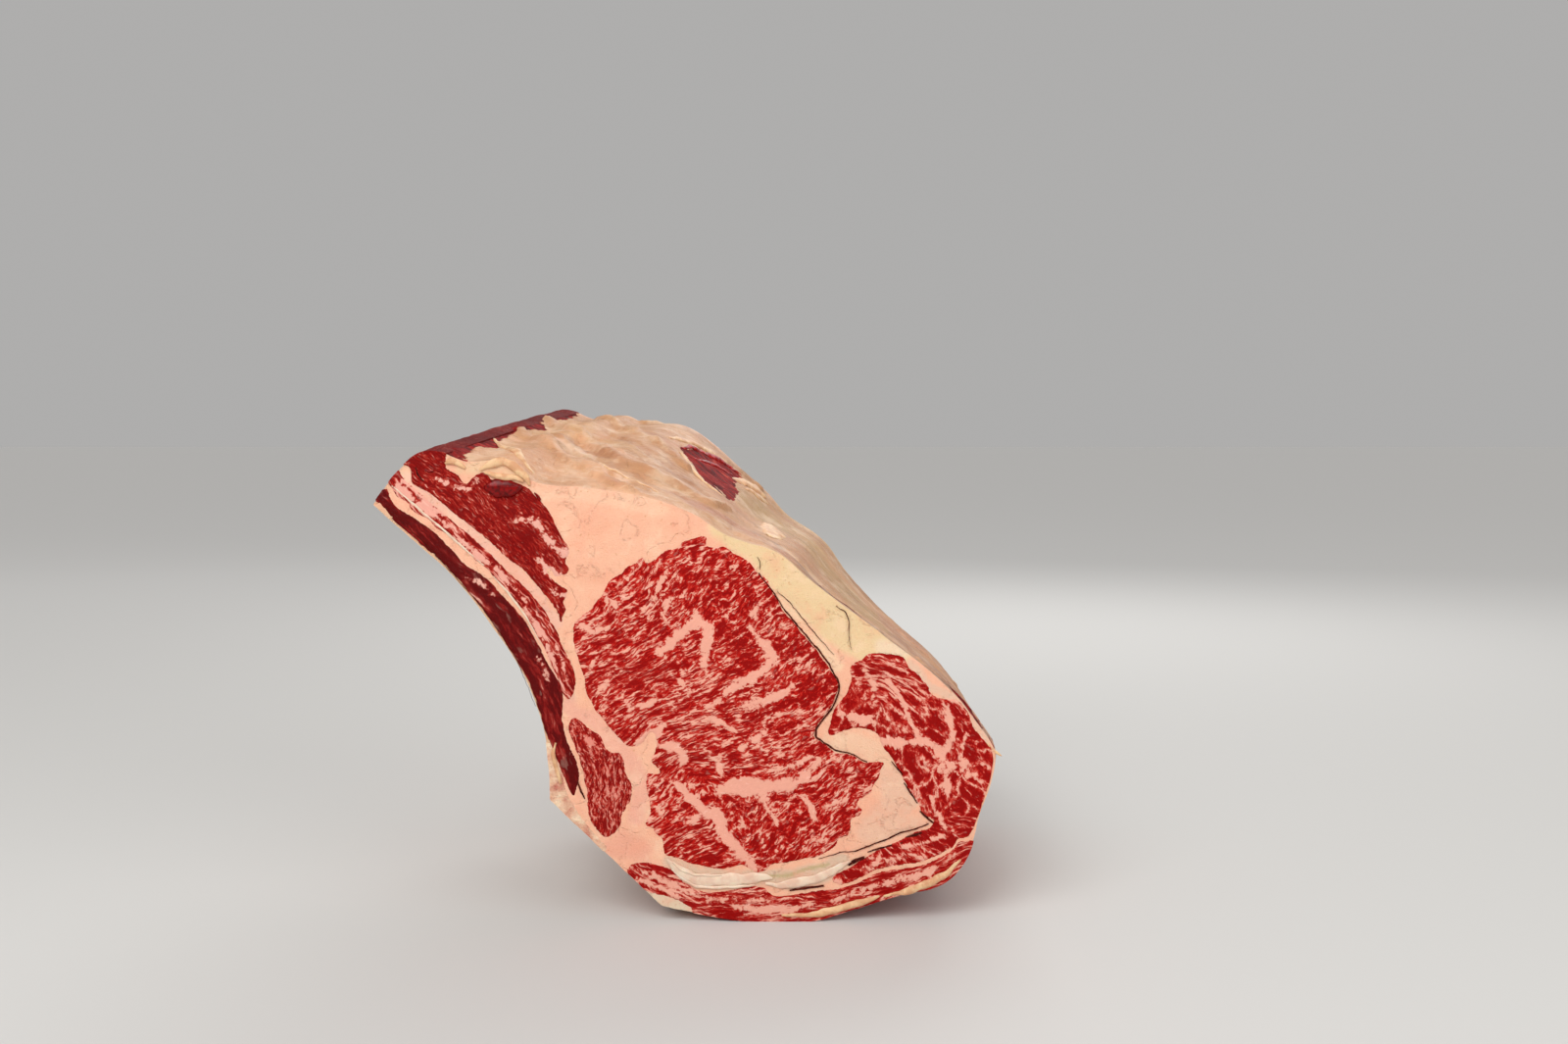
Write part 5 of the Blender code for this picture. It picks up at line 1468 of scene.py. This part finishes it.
# Rolls on the front cut: (path of (x, z, width)), height, how far the middle stands out.
CUT_FLAPS = [
    ([(-89, 197.2, 1), (-86.5, 199, 2.8), (-83, 200.4, 3.6), (-79, 201, 3.4), (-75.5, 199.4, 3.6), (-72, 196.6, 3.4),
      (-69, 193.8, 2.6), (-68, 190.6, 1)], 2.2, 0.5),
    ([(-87, 196.3, 0.8), (-83, 195, 2), (-78.5, 194.2, 2.4), (-74, 194, 2), (-70.5, 192.4, 1)], 1.6, 0.5),
    ([(-104, 200, 1), (-101.5, 201.2, 3), (-98.5, 200.4, 3), (-95.5, 198.4, 1)], 1.8, 0.3),
    ([(84, 11.6, 1), (94, 13.2, 3), (104, 17, 3.4), (112, 21.5, 3), (118, 27.5, 1)], 2.0, 0.2),
    ([(40, 3, 1), (52, 2.8, 2.6), (64, 5.6, 3), (76, 9, 2.6), (83, 11.5, 1)], 1.8, 0.2),
    ([(127, 80.6, 0.6), (130.5, 76.9, 1.6), (133.4, 74.4, 1.6), (135.4, 73.2, 0.5)], 1.2, -0.6),
    ([(-58, 79, 1), (-59.5, 74, 2.2), (-57.5, 67, 2), (-56, 61, 1)], 1.2, 0.2),
]
GRISTLE = [
    ([(-10, 27.6, 1), (-6.5, 24.2, 3.4), (-2, 20.4, 5), (3, 18.4, 5.6), (10, 18.4, 5.4), (18, 18.8, 5.4), (26, 19.4, 4.6),
      (32, 20, 3), (36, 19, 1)], 1.3, 0.35),
    ([(33, 17, 1), (39, 16, 3), (47, 17.4, 4), (55, 19, 4.4), (62, 22.4, 4), (67, 25.6, 2), (70, 27, 1)], 1.2, 0.35),
    ([(-8, 23.4, 0.6), (-3, 18.6, 1.2), (2.5, 15.9, 1.4), (10, 15.2, 1.3), (20, 15.5, 1.2), (28, 16.4, 0.6)], 1.1, 0.5),
    ([(-7.6, 26.6, 0.5), (-3, 22.6, 1), (2, 20.9, 1.2), (8, 20.8, 1), (14, 20.8, 0.5)], 1.0, 0.8),
    ([(-127, 190.5, 0.6), (-117, 181.8, 1), (-107, 173.3, 1), (-97, 164.2, 1), (-88, 156.4, 0.6)], 0.6, 0.15),
    ([(-84, 151.6, 0.5), (-77, 143.6, 0.9), (-70, 134, 0.9), (-64, 122.6, 0.5)], 0.6, 0.15),
]
JUICE = [
    ([(-87.5, 190, 1), (-85, 190, 5), (-82, 189.6, 8), (-79, 189.2, 8.8), (-76, 189.4, 7.4), (-73, 189.8, 4.6),
      (-71, 190, 1)], 3.8, 0.35),
    ([(-66, 187.4, 0.6), (-64.4, 186, 1.6), (-63.4, 184.4, 0.6)], 1.0, 0.3),
    ([(-113, 197.8, 0.6), (-111, 197, 1.4), (-108.4, 196.6, 0.6)], 0.9, 0.3),
]


def skin_of(name):
    """The finished piece's surface, for laying rolls on."""
    mesh = bpy.data.objects[name].data
    points = np.empty(len(mesh.vertices) * 3, np.float32)
    mesh.vertices.foreach_get("co", points)
    faces = [tuple(face.vertices) for face in mesh.polygons]
    return BVHTree.FromPolygons(points.reshape(-1, 3).tolist(), faces)


def roll(skin, path, height, out=0.0):
    """One tapering roll, laid on the skin, or on the front cut where there's no skin."""
    path = np.array(path, float)
    if skin is None:
        path = np.column_stack([path[:, 0] - SECTION_CENTRE_X / MM, np.full(len(path), -DEPTH / 2 / MM), path[:, 1:]])
    length = np.insert(np.cumsum(np.linalg.norm(np.diff(path[:, :3], axis=0), axis=1)), 0, 0)
    wanted = np.linspace(0, length[-1], max(8, int(length[-1] / 0.8)))
    rows = np.stack([np.interp(wanted, length, path[:, axis]) for axis in range(4)], axis=1)
    for _ in range(3):
        rows[1:-1] = (rows[:-2] + 2 * rows[1:-1] + rows[2:]) / 4
    centres, outs = [], []
    for row in rows:
        if skin is None:
            centres.append((row[0] * MM, row[1] * MM - out * MM, row[2] * MM))
            outs.append((0.0, -1.0, 0.0))
            continue
        near, normal, _, _ = skin.find_nearest(Vector(row[:3] * MM))
        centres.append(near + normal * out * MM)
        outs.append(normal)
    ragged = 1 + 0.35 * noise(rows[:, :3], 0.20, 91, 2)
    centres = np.array([tuple(centre) for centre in centres])
    centres += np.stack([noise(rows[:, :3], 0.3, 93 + axis) for axis in range(3)], axis=1) * 0.0004 * (0, 0, 1)
    ends = np.sin(np.linspace(0, math.pi, len(rows))) ** 0.35
    widths = rows[:, 3] * ragged * MM
    return lobe(centres, widths, np.maximum(height * ends, 0.2) * MM * np.sqrt(ragged), [tuple(o) for o in outs], 14)


class ROAST_OT_trimmings(bpy.types.Operator):
    """Builds the dark lines of the cracks on the cut, partly painted shade, the flaps and ridges of fat, the shreds,
    the torn holes darkened as painted shade and the pool of juice
    """

    bl_idname = "roast.trimmings"
    bl_label = "Trimmings"

    def execute(self, context):
        # Dark red of the seams, and painted shade for the inside of the cracks and slots.
        dark = plain_material("crevice_seam_and_shade", srgb(96, 34, 22), srgb(52, 12, 8), 0.6, specular=0.1)
        face_y = -DEPTH / 2 - settings().proud
        parts = []
        for path in CREVICES:
            rows = resampled(path, 0.8)
            wiggle = noise(np.column_stack([rows[:, :2], rows[:, 0] * 0]), 0.6, 13, 2)[:, None]
            rows[:, :2] += wiggle * 0.25
            flat = np.column_stack([
                rows[:, 0] * MM - SECTION_CENTRE_X, np.full(len(rows), face_y - 0.00002), rows[:, 1] * MM])
            width = rows[:, 2] * 0.74 * MM * (1 + 0.3 * noise(np.column_stack([rows[:, :2], rows[:, 0] * 0]), 0.8, 17))
            parts.append(lobe(flat, width, np.full(len(rows), 0.0004), np.tile([0.0, -1.0, 0.0], (len(rows), 1)), 6))
        trimming("cracks", parts, dark, (0, 50, 0.00005, 900))

        fat_skin = skin_of("beef_fat")
        cream = plain_material("flap_fat", srgb(232, 192, 148), srgb(210, 156, 116), 0.42, soft=0.15, scale=0.25)
        parts = [roll(fat_skin, *flap) for flap in OUTER_FLAPS]
        parts += [roll(None, *flap) for flap in CUT_FLAPS]
        trimming("fat_flaps", parts, cream, (0.0006, 160, 0.0002, 500))

        pale = plain_material("gristle", srgb(238, 214, 190), srgb(226, 188, 164), 0.30, soft=0.15, scale=0.16)
        parts = [roll(None, *band) for band in GRISTLE]
        trimming("gristle", parts, pale, (0.00025, 70, 0.00004, 400))

        raw = plain_material("torn_meat", srgb(190, 22, 16), srgb(126, 8, 8), 0.35, scale=0.4, specular=0.2)
        parts = [roll(fat_skin, *shred) for shred in TORN_SHREDS]
        trimming("torn_meat", parts, raw, (0.0005, 200, 0.0002, 500))

        # Dark red of the lean in the tears, darker than the torn meat as painted shade inside the holes.
        hole = plain_material("torn_hole_shade", srgb(120, 12, 10), srgb(66, 4, 4), 0.5, specular=0.1)
        parts = [roll(fat_skin, *tear) for tear in TEARS]
        trimming("torn_holes", parts, hole, (0.0001, 200, 0.0001, 500))

        juice = plain_material("juice", srgb(138, 3, 3), srgb(84, 1, 1), 0.07, specular=0.32)
        parts = [roll(None, *drop) for drop in JUICE]
        trimming("juice_pool", parts, juice, (0.0006, 190, 0, 500))
        return {"FINISHED"}


class ROAST_OT_stage(bpy.types.Operator):
    """Sets the floor, the lights, the camera and the view colours"""

    bl_idname = "roast.stage"
    bl_label = "Stage"

    def execute(self, context):
        scene = context.scene
        bpy.ops.mesh.primitive_plane_add(size=40, location=(0, 0, 0))
        floor = context.object
        floor.name = "floor"
        paint = bpy.data.materials.new("pale_floor")
        paint.use_nodes = True
        cloth = paint.node_tree.nodes["Principled BSDF"]
        cloth.inputs["Base Color"].default_value = (0.62, 0.61, 0.59, 1)
        cloth.inputs["Roughness"].default_value = 0.9
        cloth.inputs["Specular IOR Level"].default_value = 0.1
        # Far from the roast the floor brightens to the backdrop's tone, where the lamps no longer reach it.
        coordinates = paint.node_tree.nodes.new("ShaderNodeTexCoord")
        length = paint.node_tree.nodes.new("ShaderNodeVectorMath")
        length.operation = "LENGTH"
        fade = paint.node_tree.nodes.new("ShaderNodeMapRange")
        fade.interpolation_type = "SMOOTHSTEP"
        for key, value in (("From Min", 0.3), ("From Max", 1.7), ("To Min", 0.0), ("To Max", 0.178)):
            fade.inputs[key].default_value = value
        paint.node_tree.links.new(coordinates.outputs["Object"], length.inputs[0])
        paint.node_tree.links.new(length.outputs["Value"], fade.inputs["Value"])
        paint.node_tree.links.new(fade.outputs[0], cloth.inputs["Emission Strength"])
        cloth.inputs["Emission Color"].default_value = (0.92, 0.91, 0.90, 1)
        floor.data.materials.append(paint)
        world = scene.world or bpy.data.worlds.new("studio")
        scene.world = world
        world.use_nodes = True
        back = world.node_tree.nodes.get("Background") or world.node_tree.nodes.new("ShaderNodeBackground")
        back.inputs["Color"].default_value = (0.82, 0.81, 0.80, 1)
        back.inputs["Strength"].default_value = 0.52
        lights = [
            ("key", (-0.55, -1.0, 1.05), 0.9, 14.4),
            ("fill", (0.9, -0.8, 0.6), 0.9, 5),
            ("back", (0.3, 0.9, 0.9), 0.8, 6),
        ]
        for name, place, size, power in lights:
            lamp = bpy.data.lights.new(name, "AREA")
            lamp.size = size
            lamp.energy = power
            made = bpy.data.objects.new(name, lamp)
            made.location = place
            aim = Vector((0, 0, 0.1)) - Vector(place)
            made.rotation_euler = aim.to_track_quat("-Z", "Y").to_euler()
            scene.collection.objects.link(made)
        camera = bpy.data.cameras.new("camera")
        camera.lens, camera.sensor_width = 32, 36
        camera.clip_start, camera.clip_end = 0.02, 20
        eye = bpy.data.objects.new("camera", camera)
        eye.location = (0.03705, -0.677, 0.2136)
        eye.rotation_euler = (math.radians(90 - 3.7), 0, 0)
        scene.collection.objects.link(eye)
        scene.camera = eye
        scene.view_settings.view_transform = "Standard"
        scene.view_settings.look = "None"
        return {"FINISHED"}


class ROAST_PT_panel(bpy.types.Panel):
    """Lists the steps that build the roast"""

    bl_idname = "ROAST_PT_panel"
    bl_label = "Rib roast"
    bl_space_type = "VIEW_3D"
    bl_region_type = "UI"
    bl_category = "Rib roast"

    def draw(self, context):
        layout = self.layout
        for step in OPERATORS:
            layout.operator(step.bl_idname)
        for title in ROAST_settings.__annotations__:
            layout.prop(context.scene.roast_settings, title)


OPERATORS = (ROAST_OT_fat_body, ROAST_OT_muscles, ROAST_OT_bones, ROAST_OT_trimmings, ROAST_OT_stage)
CLASSES = (ROAST_settings, *OPERATORS, ROAST_PT_panel)


def register():
    for item in CLASSES:
        bpy.utils.register_class(item)
    bpy.types.Scene.roast_settings = bpy.props.PointerProperty(type=ROAST_settings)


def unregister():
    del bpy.types.Scene.roast_settings
    for item in reversed(CLASSES):
        bpy.utils.unregister_class(item)


def main():
    register()
    bpy.ops.roast.fat_body()
    bpy.ops.roast.muscles()
    bpy.ops.roast.bones()
    bpy.ops.roast.trimmings()
    bpy.ops.roast.stage()


if __name__ == "__main__":
    main()
